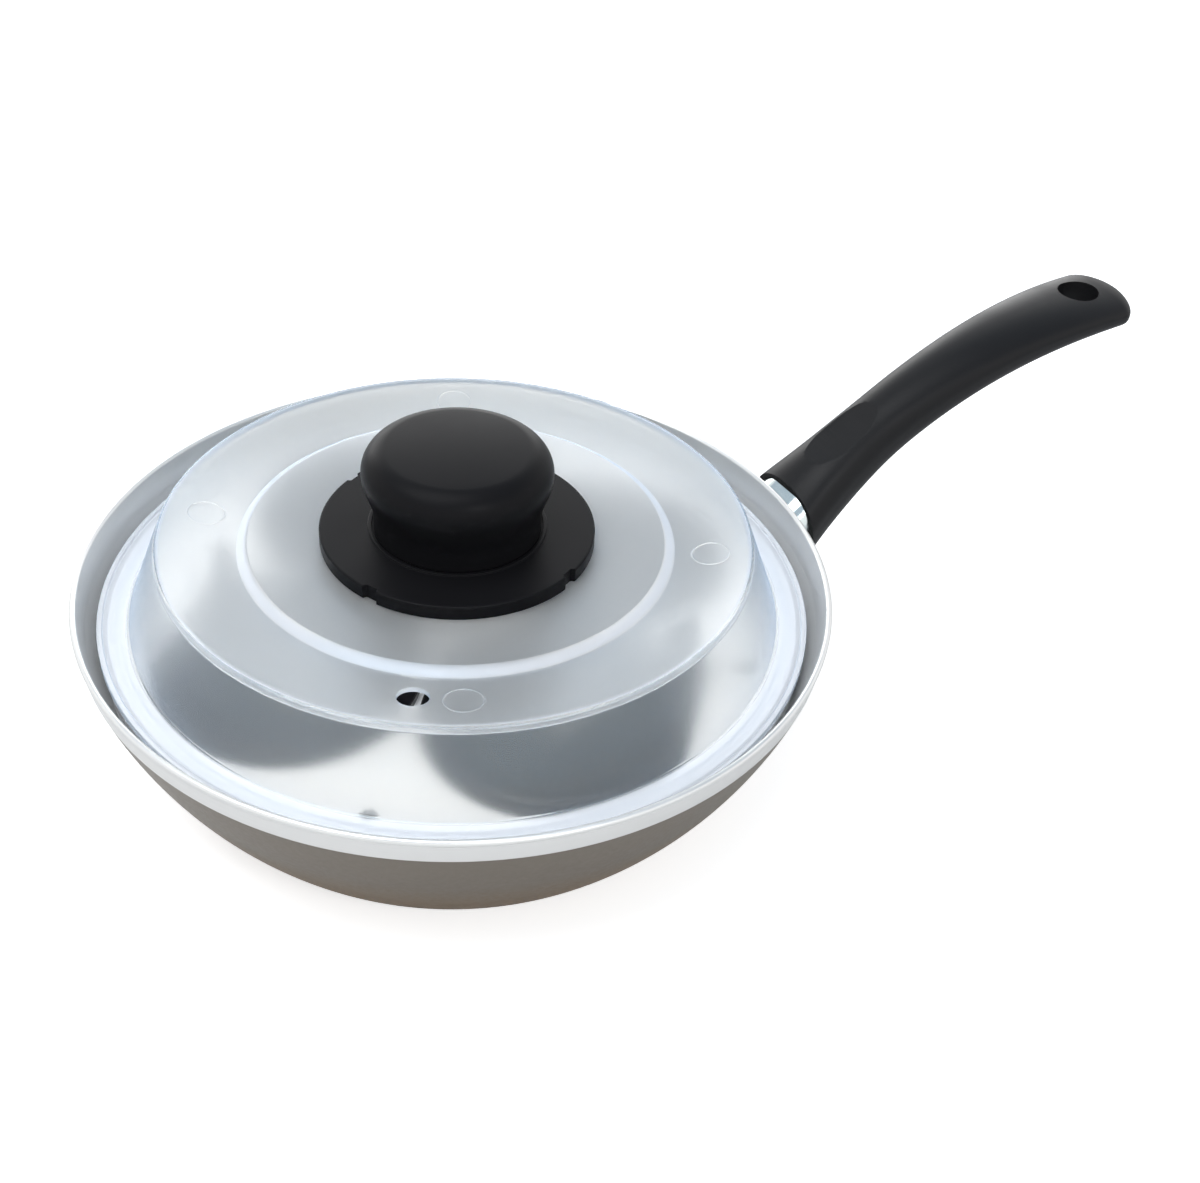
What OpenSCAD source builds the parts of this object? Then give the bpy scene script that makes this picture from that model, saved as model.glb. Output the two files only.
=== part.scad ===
// Egg poacher pan: a shallow pan with a curved handle, a drop-in tray that carries four
// egg cups, and a translucent lid with a round knob.
// Millimetres. +Z is up, +X runs along the handle, and the origin is the centre of the
// flat base. The pieces are drawn closed: cups in the tray, tray in the pan, lid on top.

/* [Pan] */
// Diameter over the rim
rim_d = 205; // [195:1:220]
// Height from the base to the rim
pan_h = 53; // [50:0.5:58]
// Radius of the centre of the base's rounded edge
base_r = 71; // [66:0.5:74]
// Radius of the rounded edge of the base
foot_round = 8; // [5:0.5:9]
// Lean of the wall just above the base, from the vertical
foot_lean = 41; // [38:0.5:44]
// Height of the bare lip band below the rim
lip_h = 7.3; // [5:0.1:9]
// How much narrower the lip band is at its foot, in radius
lip_draft = 1.3; // [0.5:0.1:2]
// Thickness of the upper wall
wall_t = 1.8; // [1.4:0.1:2.4]
// Thickness of the floor
floor_t = 3; // [2:0.1:4]
// Radius inside, between the floor and the wall
floor_round = 9; // [6:0.5:12]
// Depth of the tray's seat below the rim
seat_depth = 18.4; // [17:0.1:20]
// Extra thickness of the wall below the seat
seat_step = 2; // [1.6:0.1:3]

/* [Handle] */
// Distance from the pan's rim to the start of the handle
handle_off = 11; // [10:0.5:14]
// Height of the middle of the handle's start above the base
handle_z = 36.8; // [36.2:0.2:38]
// Length of the handle, measured along X
handle_len = 124.5; // [118:0.5:135]
// Rise of the handle from its start to its tip
handle_rise = 46.8; // [44:0.2:49]
// How fast the rise flattens out
handle_curve = 2.28; // [2.16:0.02:2.36]
// Lean of the handle's end face over the pan, from upright
mouth_a = 8; // [5:0.5:11]
// Half width at the waist behind the pan
waist_w = 10; // [9.8:0.1:11.5]
// Half width at the widest part of the grip
grip_w = 14.4; // [12:0.1:16]
// Extra half width of the flare against the pan
flare_w = 4.7; // [4.7:0.1:6]
// Half thickness at the start
root_t = 9.8; // [9.6:0.1:11]
// Half thickness at the tip
tip_t = 4.9; // [4:0.1:6]
// Diameter of the hanging hole
hang_d = 13; // [8:0.5:14]
// Distance from the tip to the axis of the hanging hole
hang_back = 16; // [14:0.5:22]
// Length of the thumb rest on top of the handle
thumb_len = 30; // [24:1:36]
// Depth of the thumb rest
thumb_deep = 1.5; // [0.8:0.1:2.2]
// Distance from the start of the handle to the middle of the thumb rest
thumb_at = 24; // [20:0.5:28]

/* [Handle fixing] */
// Upward angle of the tongue that carries the handle
tongue_a = 35; // [34:0.5:36]
// Width of the tongue
tongue_w = 13; // [10:0.5:15]
// Thickness of the tongue
tongue_t = 4.5; // [4:0.25:4.75]
// Length of the tongue inside the handle
tongue_in = 38; // [32:1:42]
// Half width of the ferrule
ferrule_w = 12.5; // [12:0.1:12.7]
// Half height of the ferrule
ferrule_h = 8.3; // [7.8:0.1:8.4]
// Thickness of the ferrule's sheet
ferrule_t = 1; // [0.8:0.1:1.4]
// Depth of the ferrule inside the handle
ferrule_in = 5; // [4.8:0.1:5.4]
// Thickness of the bracket's welded foot
foot_t = 2.5; // [2:0.1:3.5]
// Distance from the start of the handle to the handle screw
screw_at = 24; // [20:0.5:28]
// Diameter of the handle and knob screws
screw_d = 4; // [3.5:0.1:4.5]
// Diameter of the screw heads
head_d = 7.6; // [7:0.1:8.4]
// Height of the screw heads
head_h = 2.4; // [2:0.1:3]

/* [Tray] */
// Thickness of the tray's plate
tray_t = 2; // [1.6:0.1:2.4]
// Outward draft of the tray's rim, in radius
tray_draft = 1.1; // [0.6:0.1:1.5]
// Depth of the tray's rim below the pan's rim
tray_rim_drop = 9.5; // [9:0.1:11]
// Width of the rim's top land
land_w = 2.5; // [2:0.1:3.5]
// Width of the step inside the rim
ledge_w = 4.1; // [3:0.1:5]
// Depth of the step below the rim
ledge_drop = 3.2; // [2.5:0.1:3.6]
// Width of the slope between the step and the plate
slope_w = 1.5; // [1:0.1:2.5]
// Width of the rim's foot, which stands on the seat
tray_foot_w = 2; // [1.4:0.1:2.4]
// Diameter of the steam holes
steam_d = 5; // [3:0.5:7]
// Distance of the steam holes from the pan's axis
steam_r = 80; // [77:0.5:82]

/* [Lift post] */
// Height of the lift post above the plate
post_h = 17.6; // [14:0.2:20]
// Gap between the post's foot and the corner of the cup beside it
post_gap = 0.45; // [0.3:0.05:1]
// Width of the foot outside the post's body
post_foot_w = 1.5; // [1.2:0.1:2]
// Height of the post's body up to its shoulder
post_body_h = 9; // [7:0.2:10]
// Diameter of the nub on top
nub_d = 4.2; // [3.5:0.1:5]
// Diameter of the stem that snaps through the plate
stem_d = 8; // [6:0.25:9]

/* [Cups] */
// Gap between neighbouring cup flanges
cup_gap = 1.8; // [1.2:0.1:3]
// Gap between the cup flanges and the slope around the plate
cup_edge_gap = 1.3; // [0.8:0.1:2.5]
// Width of the flange outside the bowl's mouth
flange_w = 5.1; // [4.6:0.1:6]
// Height of the flange above the plate
flange_h = 2.6; // [2.2:0.1:3]
// Height of the raised ring round the bowl, above the flange
ring_h = 0.6; // [0.3:0.1:0.8]
// Width of the raised ring
ring_w = 2.2; // [1.6:0.1:2.8]
// Thickness of the cup's walls
cup_t = 1.6; // [1.3:0.1:2]
// Depth of the bowl below the ring
bowl_deep = 23; // [20:0.5:26]
// Radius of the bowl where its wall meets the dished bottom
bowl_turn_r = 22.5; // [20:0.5:25]
// Depth of that corner below the ring
bowl_turn = 15; // [11:0.5:16]
// Radius of the flat spot in the middle of the bottom
spot_r = 9; // [6:0.5:12]
// How far the flange's pointed end stands out from its round edge
tip_out = 11.9; // [10:0.1:12.5]
// Rounding of the pointed end
tip_round = 3; // [2:0.25:4]
// Height of the tab above the flange
tab_h = 12.5; // [9:0.5:14]
// Length of the tab
tab_len = 11; // [8:0.5:12]
// Thickness of the tab at its foot
tab_t = 4.5; // [3.5:0.1:5.5]
// Width of the steam notch in the flange's edge
notch_w = 3.4; // [2:0.1:5]
// Angle of the first cup from the handle
cup_a = 2; // [0:0.5:10]
// Gap round each bowl where it passes through the tray
cup_hole_gap = 0.8; // [0.5:0.1:1.2]

/* [Lid] */
// Thickness of the lid
lid_t = 1.5; // [1.2:0.1:2]
// Gap between the lid's edge and the pan's wall
lid_gap = 2.7; // [2:0.1:4]
// Width of the lid's flat flange
lid_flange_w = 8.2; // [7.4:0.1:9]
// Height of the bead on the flange's edge
bead_h = 0.6; // [0.3:0.1:1]
// Width of the bead on the flange's edge
bead_w = 1.3; // [0.8:0.1:2]
// Height of the top of the lid above the pan's rim
lid_rise = 14.4; // [12:0.2:18]
// How much narrower the skirt is at its top, in radius
skirt_draft = 8.6; // [7:0.2:10]
// Width of the flat band round the top
band_w = 21; // [18:0.5:24]
// Fall of that band towards the middle
band_fall = 3.1; // [1:0.1:3.5]
// Width of the raised step inside the band
step_w = 2.9; // [2:0.1:4]
// Height of the raised step
step_h = 1.9; // [1:0.1:3]
// Fall of the middle disc towards the knob
disc_fall = 1.2; // [0.4:0.1:2]
// Diameter of the vent hole
vent_d = 8; // [5:0.5:10]
// How far the vent hole sits inside the middle of the band
vent_in = 1.7; // [0:0.1:4]
// Angle of the vent hole from the handle
vent_a = -126.5; // [-180:0.5:180]
// Depth of the locating rib under the flange
rib_h = 2.5; // [1:0.1:2.7]
// Thickness of the locating rib
rib_t = 1.5; // [1:0.1:2]

/* [Knob] */
// Diameter of the disc under the knob
disc_d = 73.6; // [66:0.2:78]
// Height of the disc's edge
disc_h = 4; // [3.2:0.1:5]
// Thickness of the disc's top and edge wall
disc_t = 2.2; // [1.8:0.1:2.6]
// Height of the raised collar round the knob's neck
collar_h = 0.5; // [0.3:0.1:0.8]
// Width of the raised collar
collar_w = 1.1; // [0.8:0.1:1.6]
// Width of the notches in the disc's edge
disc_notch_w = 4; // [3:0.1:6]
// Depth of the notches
disc_notch_deep = 1.2; // [0.6:0.1:1.6]
// Angle of the first notch from the handle
disc_notch_a = 25; // [0:1:90]
// Diameter of the knob's neck
neck_d = 44.8; // [40:0.2:47]
// Height of the straight part of the neck
neck_h = 4.8; // [3:0.2:8]
// Height of the flare between the neck and the widest part
neck_flare_h = 12; // [9:0.2:14]
// Diameter of the knob at its widest
knob_d = 50.6; // [47:0.2:54]
// Radius of the knob's rounded shoulder
knob_round = 7; // [5:0.25:9]
// Slope of the crown where it meets the shoulder
crown_a = 4; // [2:0.5:8]
// Diameter of the brass insert
insert_d = 8; // [7:0.1:9]
// Length of the brass insert
insert_len = 11; // [8:0.5:13]
// Diameter of the washer under the lid
washer_d = 14; // [12:0.5:16]

/* [Fits] */
// Play of the tray in the pan, in radius
tray_play = 0.45; // [0.3:0.05:0.7]
// Play of the tongue and the ferrule in the handle
socket_play = 0.2; // [0.1:0.05:0.3]
// Play of the screws in tapped holes, in radius
thread_play = 0.05; // [0.02:0.01:0.1]
// Play of the screws in clearance holes, in radius
hole_play = 0.3; // [0.2:0.05:0.5]
// Thickness of the screw washers
washer_t = 0.9; // [0.6:0.1:1.2]

/* [Hidden] */
$fn = 96;

// Pan wall: an arc that leaves the foot at foot_lean and ends at the lip band
rim_r = rim_d / 2;
lip_r = rim_r - lip_draft;
lip_z = pan_h - lip_h;
foot_p = [base_r + foot_round * cos(foot_lean), foot_round * (1 - sin(foot_lean))];
foot_n = [cos(foot_lean), -sin(foot_lean)];
wall_chord = [lip_r, lip_z] - foot_p;
wall_R = -(wall_chord * wall_chord) / (2 * (wall_chord * foot_n));
wall_c = foot_p - wall_R * foot_n;
wall_a0 = -foot_lean;
wall_a1 = atan2(lip_z - wall_c[1], lip_r - wall_c[0]);
wall_steps = 16;
function wall_r(z, inset = 0) = wall_c[0] + sqrt(pow(wall_R - inset, 2) - pow(z - wall_c[1], 2));

// Tray
seat_z = pan_h - seat_depth;
plate_z = seat_z + tray_t;
tray_r = wall_r(seat_z, wall_t) - tray_play;
tray_top_r = tray_r + tray_draft;
tray_top_z = pan_h - tray_rim_drop;
land_r = tray_top_r - land_w;
ledge_draft = 0.4;
ledge_r = land_r - ledge_draft;
ledge_z = tray_top_z - ledge_drop;
plate_r = ledge_r - ledge_w - slope_w;

// Cups: four equal flanges that fill the plate
flange_r = (plate_r - cup_edge_gap - cup_gap / sqrt(2)) / (1 + sqrt(2));
cup_r = (2 * flange_r + cup_gap) / sqrt(2);
bowl_r = flange_r - flange_w;
flange_z = plate_z + flange_h;
ring_z = flange_z + ring_h;
cup_hole_r = bowl_r + cup_t + cup_hole_gap;
tip_len = flange_r + tip_out;
corner_x = tip_len - tip_round;
corner_spread = acos((flange_r - tip_round) / corner_x);
// The second cup's corner points in beside the post, and clears the third cup's flange
corner_gap = cup_gap / 3;
inward_turn = 135 + corner_spread - acos((2 * flange_r + corner_gap) / (2 * flange_r + cup_gap));
cup_turn = [90, inward_turn, -90, 90];
corner_clear = min(-cup_r * cos(inward_turn + corner_spread) - flange_r,
    norm([cup_r + corner_x * cos(inward_turn), corner_x * sin(inward_turn)]) - tip_round);
post_foot_r = corner_clear - post_gap;
post_r = post_foot_r - post_foot_w;
side_in = 0.01;
tab_back = 1.2;
tab_end = tip_len - tab_back;
tab_lean = 0.12;
tab_round = 2.4;

// Lid
lid_z = tray_top_z;
lid_r = wall_r(lid_z + lid_t, wall_t) - lid_gap;
skirt_foot_r = lid_r - lid_flange_w;
lid_top_z = pan_h + lid_rise;
skirt_top_r = skirt_foot_r - skirt_draft;
lid_bend = 1.2;
skirt_a = atan(skirt_draft / (lid_top_z - lid_z));
band_in_r = skirt_top_r - band_w;
step_in_r = band_in_r - step_w;
band_in_z = lid_top_z - band_fall;
step_z = band_in_z + step_h;
disc_seat_z = step_z - disc_fall;
disc_seat_margin = 1;
disc_seat_r = disc_d / 2 + disc_seat_margin;
vent_r = (skirt_top_r + band_in_r) / 2 - vent_in;
rib_gap = 1.1;
rib_r = ledge_r - rib_gap;

// Knob
disc_r = disc_d / 2;
disc_z = disc_seat_z + disc_h;
neck_r = neck_d / 2;
knob_r = knob_d / 2;
flare_z = disc_z + neck_h;
knob_wide_z = flare_z + neck_flare_h;
disc_boss_w = 4;
disc_boss_r = insert_d / 2 + disc_boss_w;
collar_gap = 0.4;
edge_bevel = 0.6;
knob_bolt_z = disc_seat_z - lid_t - washer_t;
flare_steps = 10;
thread_end = 1.5;

// Handle
handle_x = rim_r + handle_off;
screw_r = screw_d / 2;
head_r = head_d / 2;
handle_tip = [handle_x + handle_len, handle_z + handle_rise];
handle_rings = 34;
handle_sides = 32;
mouth_len = 0.16;
flare_end = 0.29;
belly_start = 0.19;
belly_len = 0.78;
tip_blend = 0.06;
tip_least = 0.02;
top_square = 2.2;
under_square = 2.8;
hang_x = handle_tip[0] - hang_back;
tongue_dir = [cos(tongue_a), sin(tongue_a)];
tongue_back = handle_x / 3;
washer_over = 0.4;
washer_r = head_r + washer_over;
recess_play = 0.6;
recess_r = washer_r + recess_play;
head_taper = 0.8;
slot_w = 0.9;
socket_end = 1.5;
under_tongue = 2;
recess_floor = tongue_t / 2 + socket_play + under_tongue;

function arc(c, r, a0, a1, n) =
    [for (i = [0 : n]) let (a = a0 + (a1 - a0) * i / n) [c[0] + r * cos(a), c[1] + r * sin(a)]];
function turn(v) = [v[1], -v[0]] / norm(v);
// A line of points moved sideways by t, to its right, with its corners kept sharp
function shifted(p, t) = [for (i = [0 : len(p) - 1])
    let (a = turn(i > 0 ? p[i] - p[i - 1] : p[1] - p[0]),
         b = turn(i < len(p) - 1 ? p[i + 1] - p[i] : p[i] - p[i - 1]))
    p[i] + t * (a + b) / (1 + a * b)];
function back(p) = [for (i = [len(p) - 1 : -1 : 0]) p[i]];
function bulge(c, n) = sign(c) * pow(abs(c), 2 / n);
function ease(t) = let (u = max(0, min(1, t))) u * u * (3 - 2 * u);

// A stadium: two half circles joined by straight sides
module stadium(w, h) {
    union() {
        for (s = [-1, 1]) translate([s * (w - h), 0]) circle(r = h);
        square([2 * (w - h), 2 * h], center = true);
    }
}

// Places a piece on the tongue's axis, with its X across the handle and its Z outwards
module on_tongue(along = 0) {
    translate([handle_x + along * tongue_dir[0], 0, handle_z + along * tongue_dir[1]])
        rotate([0, 90 - tongue_a, 0]) rotate([0, 0, -90]) children();
}

// The pan's outside as a filled solid, grown by t
module pan_envelope(t = 0) {
    pts = concat([[0, -t]],
                 arc([base_r, foot_round], foot_round + t, -90, wall_a0, 4),
                 arc(wall_c, wall_R + t, wall_a0, wall_a1, wall_steps),
                 [[rim_r + t, pan_h], [0, pan_h]]);
    rotate_extrude() polygon(pts);
}

module pan_body() {
    low_R = wall_R - wall_t - seat_step;
    round_z = floor_t + floor_round;
    round_x = wall_c[0] + sqrt(pow(low_R - floor_round, 2) - pow(round_z - wall_c[1], 2));
    round_a = atan2(round_z - wall_c[1], round_x - wall_c[0]);
    seat_a = asin((seat_z - wall_c[1]) / low_R);
    up_R = wall_R - wall_t;
    up_a0 = asin((seat_z - wall_c[1]) / up_R);
    up_a1 = asin((lip_z - wall_c[1]) / up_R);
    rim_round = wall_t / 2;
    pts = concat([[0, 0]],
                 arc([base_r, foot_round], foot_round, -90, wall_a0, 4),
                 arc(wall_c, wall_R, wall_a0, wall_a1, wall_steps),
                 arc([rim_r - rim_round, pan_h - rim_round], rim_round, 0, 180, 8),
                 arc(wall_c, up_R, up_a1, up_a0, 6),
                 arc(wall_c, low_R, seat_a, round_a, wall_steps),
                 arc([round_x, round_z], floor_round, round_a, -90, 5),
                 [[0, floor_t]]);
    color("#9c958c") rotate_extrude($fn = 128) polygon(pts);
}

// The bracket is welded to the wall and carries the handle on its tongue
module handle_bracket() {
    side_gap = 1;
    top_gap = 0.6;
    foot_w = ferrule_w - ferrule_t - side_gap;
    foot_h = ferrule_h - ferrule_t - top_gap;
    color("#a9abad") difference() {
        union() {
            on_tongue(-tongue_back) linear_extrude(tongue_back + tongue_in)
                square([tongue_w, tongue_t], center = true);
            intersection() {
                on_tongue(-tongue_back) linear_extrude(tongue_back) stadium(foot_w, foot_h);
                pan_envelope(foot_t);
            }
        }
        pan_envelope();
        on_tongue(screw_at) rotate([-90, 0, 0])
            cylinder(r = screw_r + thread_play, h = 4 * tongue_t, center = true);
    }
}

module ferrule() {
    color("#d5d8da") difference() {
        on_tongue(-tongue_back) linear_extrude(tongue_back + ferrule_in) difference() {
            stadium(ferrule_w, ferrule_h);
            stadium(ferrule_w - ferrule_t, ferrule_h - ferrule_t);
        }
        pan_envelope();
    }
}

// Handle: rings set square to a centre line that rises fast and then levels out, but
// nearly upright at the pan. s runs from 0 at the pan to 1 at the tip.
function line_z(s) = handle_tip[1] - handle_rise * pow(1 - s, handle_curve);
function line_slope(s) =
    atan2(handle_rise * handle_curve * pow(1 - s, handle_curve - 1), handle_len);
function half_w(s) = waist_w + (grip_w - waist_w) * ease((s - belly_start) / belly_len)
    + flare_w * pow(max(0, 1 - s / flare_end), 2);
function half_t(s) = root_t - (root_t - tip_t) * s;
function ring_lean(s) = mouth_a + (line_slope(s) - mouth_a) * ease(s / mouth_len);
function tip_cut(s) =
    s < 1 - tip_blend ? 1 : sqrt(max(tip_least, 1 - pow((s - 1 + tip_blend) / tip_blend, 2)));
function handle_ring(s) =
    let (f = ring_lean(s), w = half_w(s) * tip_cut(s),
        t = half_t(s) / cos(line_slope(s) - f) * sqrt(tip_cut(s)))
    [for (i = [0 : handle_sides - 1]) let (a = 360 * i / handle_sides,
        n = sin(a) < 0 ? under_square : top_square, u = w * bulge(cos(a), n), v = t * bulge(sin(a), n))
        [handle_x + handle_len * s - v * sin(f), u, line_z(s) + v * cos(f)]];

module handle_form() {
    rings = [for (i = [0 : handle_rings]) handle_ring(sin(90 * i / handle_rings))];
    n = handle_sides;
    pts = [for (ring = rings) each ring];
    sides = [for (i = [0 : handle_rings - 1], j = [0 : n - 1]) let (k = (j + 1) % n)
        each [[i * n + j, (i + 1) * n + j, (i + 1) * n + k], [i * n + j, (i + 1) * n + k, i * n + k]]];
    caps = [[for (j = [0 : n - 1]) j], [for (j = [n - 1 : -1 : 0]) handle_rings * n + j]];
    polyhedron(pts, concat(sides, caps));
}

module handle() {
    thumb_R = pow(thumb_len / 2, 2) / (2 * thumb_deep) + thumb_deep / 2;
    thumb_s = thumb_at / handle_len;
    thumb_top = line_z(thumb_s) + half_t(thumb_s) * cos(line_slope(thumb_s));
    thumb_x = handle_x + thumb_at - half_t(thumb_s) * sin(line_slope(thumb_s));
    color("#232326") difference() {
        handle_form();
        on_tongue(-tongue_in) linear_extrude(2 * tongue_in + socket_end)
            square([tongue_w + 2 * socket_play, tongue_t + 2 * socket_play], center = true);
        on_tongue(-2 * root_t) linear_extrude(2 * root_t + ferrule_in + socket_play)
            stadium(ferrule_w + socket_play, ferrule_h + socket_play);
        on_tongue(screw_at) rotate([-90, 0, 0]) cylinder(r = screw_r + hole_play, h = recess_floor + 1);
        on_tongue(screw_at) rotate([-90, 0, 0]) translate([0, 0, recess_floor])
            cylinder(r = recess_r, h = 2 * root_t);
        translate([hang_x, 0, handle_tip[1]]) cylinder(d = hang_d, h = 8 * root_t, center = true);
        translate([thumb_x, 0, thumb_top]) rotate([0, -line_slope(thumb_s), 0])
            translate([0, 0, thumb_R - thumb_deep]) rotate([90, 0, 0])
            cylinder(r = thumb_R, h = 4 * grip_w, center = true);
    }
}

module washer(r) {
    difference() {
        cylinder(r = r, h = washer_t);
        translate([0, 0, -1]) cylinder(r = screw_r + hole_play, h = washer_t + 2);
    }
}

// A pan-head screw with its head below z = 0, its shank upwards and a cross recess
module screw(len) {
    difference() {
        union() {
            cylinder(r = screw_r, h = len);
            translate([0, 0, -head_h]) cylinder(r1 = head_r - head_taper, r2 = head_r, h = head_h);
        }
        for (a = [0, 90]) rotate([0, 0, a]) translate([0, 0, -head_h])
            cube([head_r, slot_w, head_h], center = true);
    }
}

module handle_washer() {
    color("#b9bcbf") on_tongue(screw_at) rotate([-90, 0, 0])
        translate([0, 0, recess_floor]) washer(washer_r);
}

module handle_screw() {
    color("#c2c5c8") on_tongue(screw_at) rotate([-90, 0, 0])
        translate([0, 0, recess_floor + washer_t]) mirror([0, 0, 1])
        screw(recess_floor + washer_t + tongue_t / 2);
}

module tray() {
    slope_a = atan((ledge_z - plate_z) / slope_w);
    under = tray_t * tan(slope_a / 2);
    pts = [[0, seat_z], [plate_r + under, seat_z], [ledge_r - ledge_w + under, ledge_z - tray_t],
           [tray_r - tray_foot_w, ledge_z - tray_t], [tray_r - tray_foot_w, seat_z], [tray_r, seat_z],
           [tray_top_r, tray_top_z], [land_r, tray_top_z], [ledge_r, ledge_z],
           [ledge_r - ledge_w, ledge_z], [plate_r, plate_z], [0, plate_z]];
    color("#eef0f6") difference() {
        rotate_extrude($fn = 128) polygon(pts);
        for (k = [0 : 3]) {
            rotate([0, 0, cup_a + 90 * k]) translate([cup_r, 0, seat_z - 1])
                cylinder(r = cup_hole_r, h = tray_t + 2);
            rotate([0, 0, cup_a + 45 + 90 * k]) translate([steam_r, 0, seat_z - 1])
                cylinder(d = steam_d, h = tray_t + 2);
        }
        translate([0, 0, seat_z - 1]) cylinder(d = stem_d + 2 * thread_play, h = tray_t + 2);
    }
}

module lift_post() {
    foot_z = plate_z;
    foot_h = 1.8;
    foot_bevel = 0.8;
    fillet_w = 1;
    fillet_h = 1.4;
    body_draft = 0.3;
    body_round = 2;
    round_end = 62;
    snap = 0.8;
    snap_gap = 0.1;
    snap_h = 2.4;
    snap_edge = 0.6;
    nub_h = 5;
    stem_r = stem_d / 2;
    snap_top = seat_z - snap_gap;
    round_c = [post_r - body_draft - body_round, foot_z + post_body_h - body_round];
    pts = concat([[0, snap_top - snap_h], [stem_r - snap, snap_top - snap_h],
                  [stem_r + snap, snap_top - snap_edge], [stem_r + snap, snap_top],
                  [stem_r, snap_top], [stem_r, foot_z], [post_foot_r, foot_z],
                  [post_foot_r, foot_z + foot_h - foot_bevel], [post_foot_r - foot_bevel, foot_z + foot_h],
                  [post_r + fillet_w, foot_z + foot_h], [post_r, foot_z + foot_h + fillet_h]],
                 arc(round_c, body_round, 0, round_end, 3),
                 [[nub_d / 2, foot_z + post_h - nub_h]],
                 arc([0, foot_z + post_h - nub_d / 2], nub_d / 2, 0, 90, 6));
    color([0.93, 0.95, 0.97, 0.6]) rotate_extrude($fn = 64) polygon(pts);
}

// Inside of the bowl: a steep wall, a corner and a dished bottom with a flat spot
dish_h = bowl_deep - bowl_turn;
dish_R = (pow(bowl_turn_r, 2) + pow(dish_h, 2)) / (2 * dish_h);
function bowl_side() = let (turn_z = ring_z - bowl_turn, c = [0, turn_z - dish_h + dish_R])
    concat([[bowl_r, ring_z]],
           arc(c, dish_R, atan2(dish_h - dish_R, bowl_turn_r), -acos(spot_r / dish_R), 5),
           [[0, c[1] - sqrt(pow(dish_R, 2) - pow(spot_r, 2))]]);

// Flange outline: a circle drawn out to a rounded point on +X, less a margin all round.
// The straight sides lie a hair inside the tangents, so they cross both circles cleanly.
module flange_outline(less = 0) {
    n = [cos(corner_spread), sin(corner_spread)];
    r0 = flange_r - less;
    r1 = tip_round - less;
    circle(r = r0);
    if (r1 > 0) translate([corner_x, 0]) circle(r = r1);
    s0 = r0 - side_in;
    s1 = r1 - side_in;
    polygon([[s0 * n[0], -s0 * n[1]], [corner_x + s1 * n[0], -s1 * n[1]],
             [corner_x + s1 * n[0], s1 * n[1]], [s0 * n[0], s0 * n[1]]]);
}

// A fin standing on the flange, thinner towards its top
module cup_tab() {
    foot_z = flange_z - cup_t / 2;
    top_z = flange_z + tab_h;
    start = tab_end - tab_len;
    lean = tab_h * tab_lean;
    intersection() {
        rotate([90, 0, 0]) linear_extrude(2 * tab_t, center = true) union() {
            polygon([[start, foot_z], [tab_end, foot_z], [tab_end, top_z - tab_round],
                     [tab_end - tab_round, top_z], [start + tab_round + lean, top_z],
                     [start + lean, top_z - tab_round]]);
            for (x = [start + lean + tab_round, tab_end - tab_round])
                translate([x, top_z - tab_round]) circle(r = tab_round);
        }
        rotate([90, 0, 90]) linear_extrude(tip_len)
            polygon([[-tab_t / 2, foot_z], [tab_t / 2, foot_z],
                     [tab_t / 2 - lean / 2, top_z], [lean / 2 - tab_t / 2, top_z]]);
    }
}

module cup(k) {
    side = bowl_side();
    outer = shifted(side, -cup_t);
    ring_out = bowl_r + ring_w;
    ring_slope = 0.7;
    ring = [[bowl_r - cup_t, flange_z - cup_t], [ring_out, flange_z - cup_t], [ring_out, flange_z],
            [ring_out - ring_slope, ring_z], [bowl_r - cup_t, ring_z]];
    color("#2a2a2d") rotate([0, 0, cup_a + 90 * k]) translate([cup_r, 0, 0])
        rotate([0, 0, cup_turn[k]]) difference() {
            union() {
                difference() {
                    translate([0, 0, plate_z]) linear_extrude(flange_h) flange_outline();
                    translate([0, 0, plate_z - 1]) linear_extrude(flange_h - cup_t + 1)
                        flange_outline(cup_t);
                    translate([-flange_r, 0, plate_z]) cube([flange_w, notch_w, flange_h], center = true);
                }
                rotate_extrude() polygon(concat([[0, flange_z]], [[bowl_r + cup_t, flange_z]],
                                                [for (i = [1 : len(outer) - 1]) outer[i]]));
                rotate_extrude() polygon(ring);
                cup_tab();
            }
            rotate_extrude() polygon(concat([[0, ring_z + 1], [bowl_r + 1, ring_z + 1]], side));
        }
}

// The lid's sheet from its edge to its middle, along the underside or, with t, the top
function lid_line() = [[lid_r, lid_z + lid_t], [skirt_foot_r, lid_z + lid_t], [skirt_top_r, lid_top_z],
                       [band_in_r, band_in_z], [step_in_r, step_z], [disc_seat_r, disc_seat_z],
                       [0, disc_seat_z]];

module lid_shell() {
    top = lid_line();
    band_a = atan(band_fall / band_w);
    bend = arc([skirt_top_r - lid_bend, lid_top_z - lid_bend], lid_bend, skirt_a, 90 + band_a, 4);
    upper = concat([top[0], top[1]], bend, [for (i = [3 : len(top) - 1]) top[i]]);
    color([0.86, 0.9, 0.93, 0.5]) difference() {
        rotate_extrude($fn = 128) union() {
            polygon(concat(upper, back(shifted(top, -lid_t))));
            translate([lid_r - bead_w, lid_z]) square([bead_w, lid_t + bead_h]);
            translate([rib_r - rib_t, lid_z - rib_h]) square([rib_t, rib_h + lid_t / 2]);
        }
        translate([0, 0, disc_seat_z]) cylinder(r = screw_r + hole_play, h = 3 * lid_t, center = true);
        rotate([0, 0, vent_a]) translate([vent_r, 0, lid_top_z])
            cylinder(d = vent_d, h = 8 * lid_t, center = true);
    }
}

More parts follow.
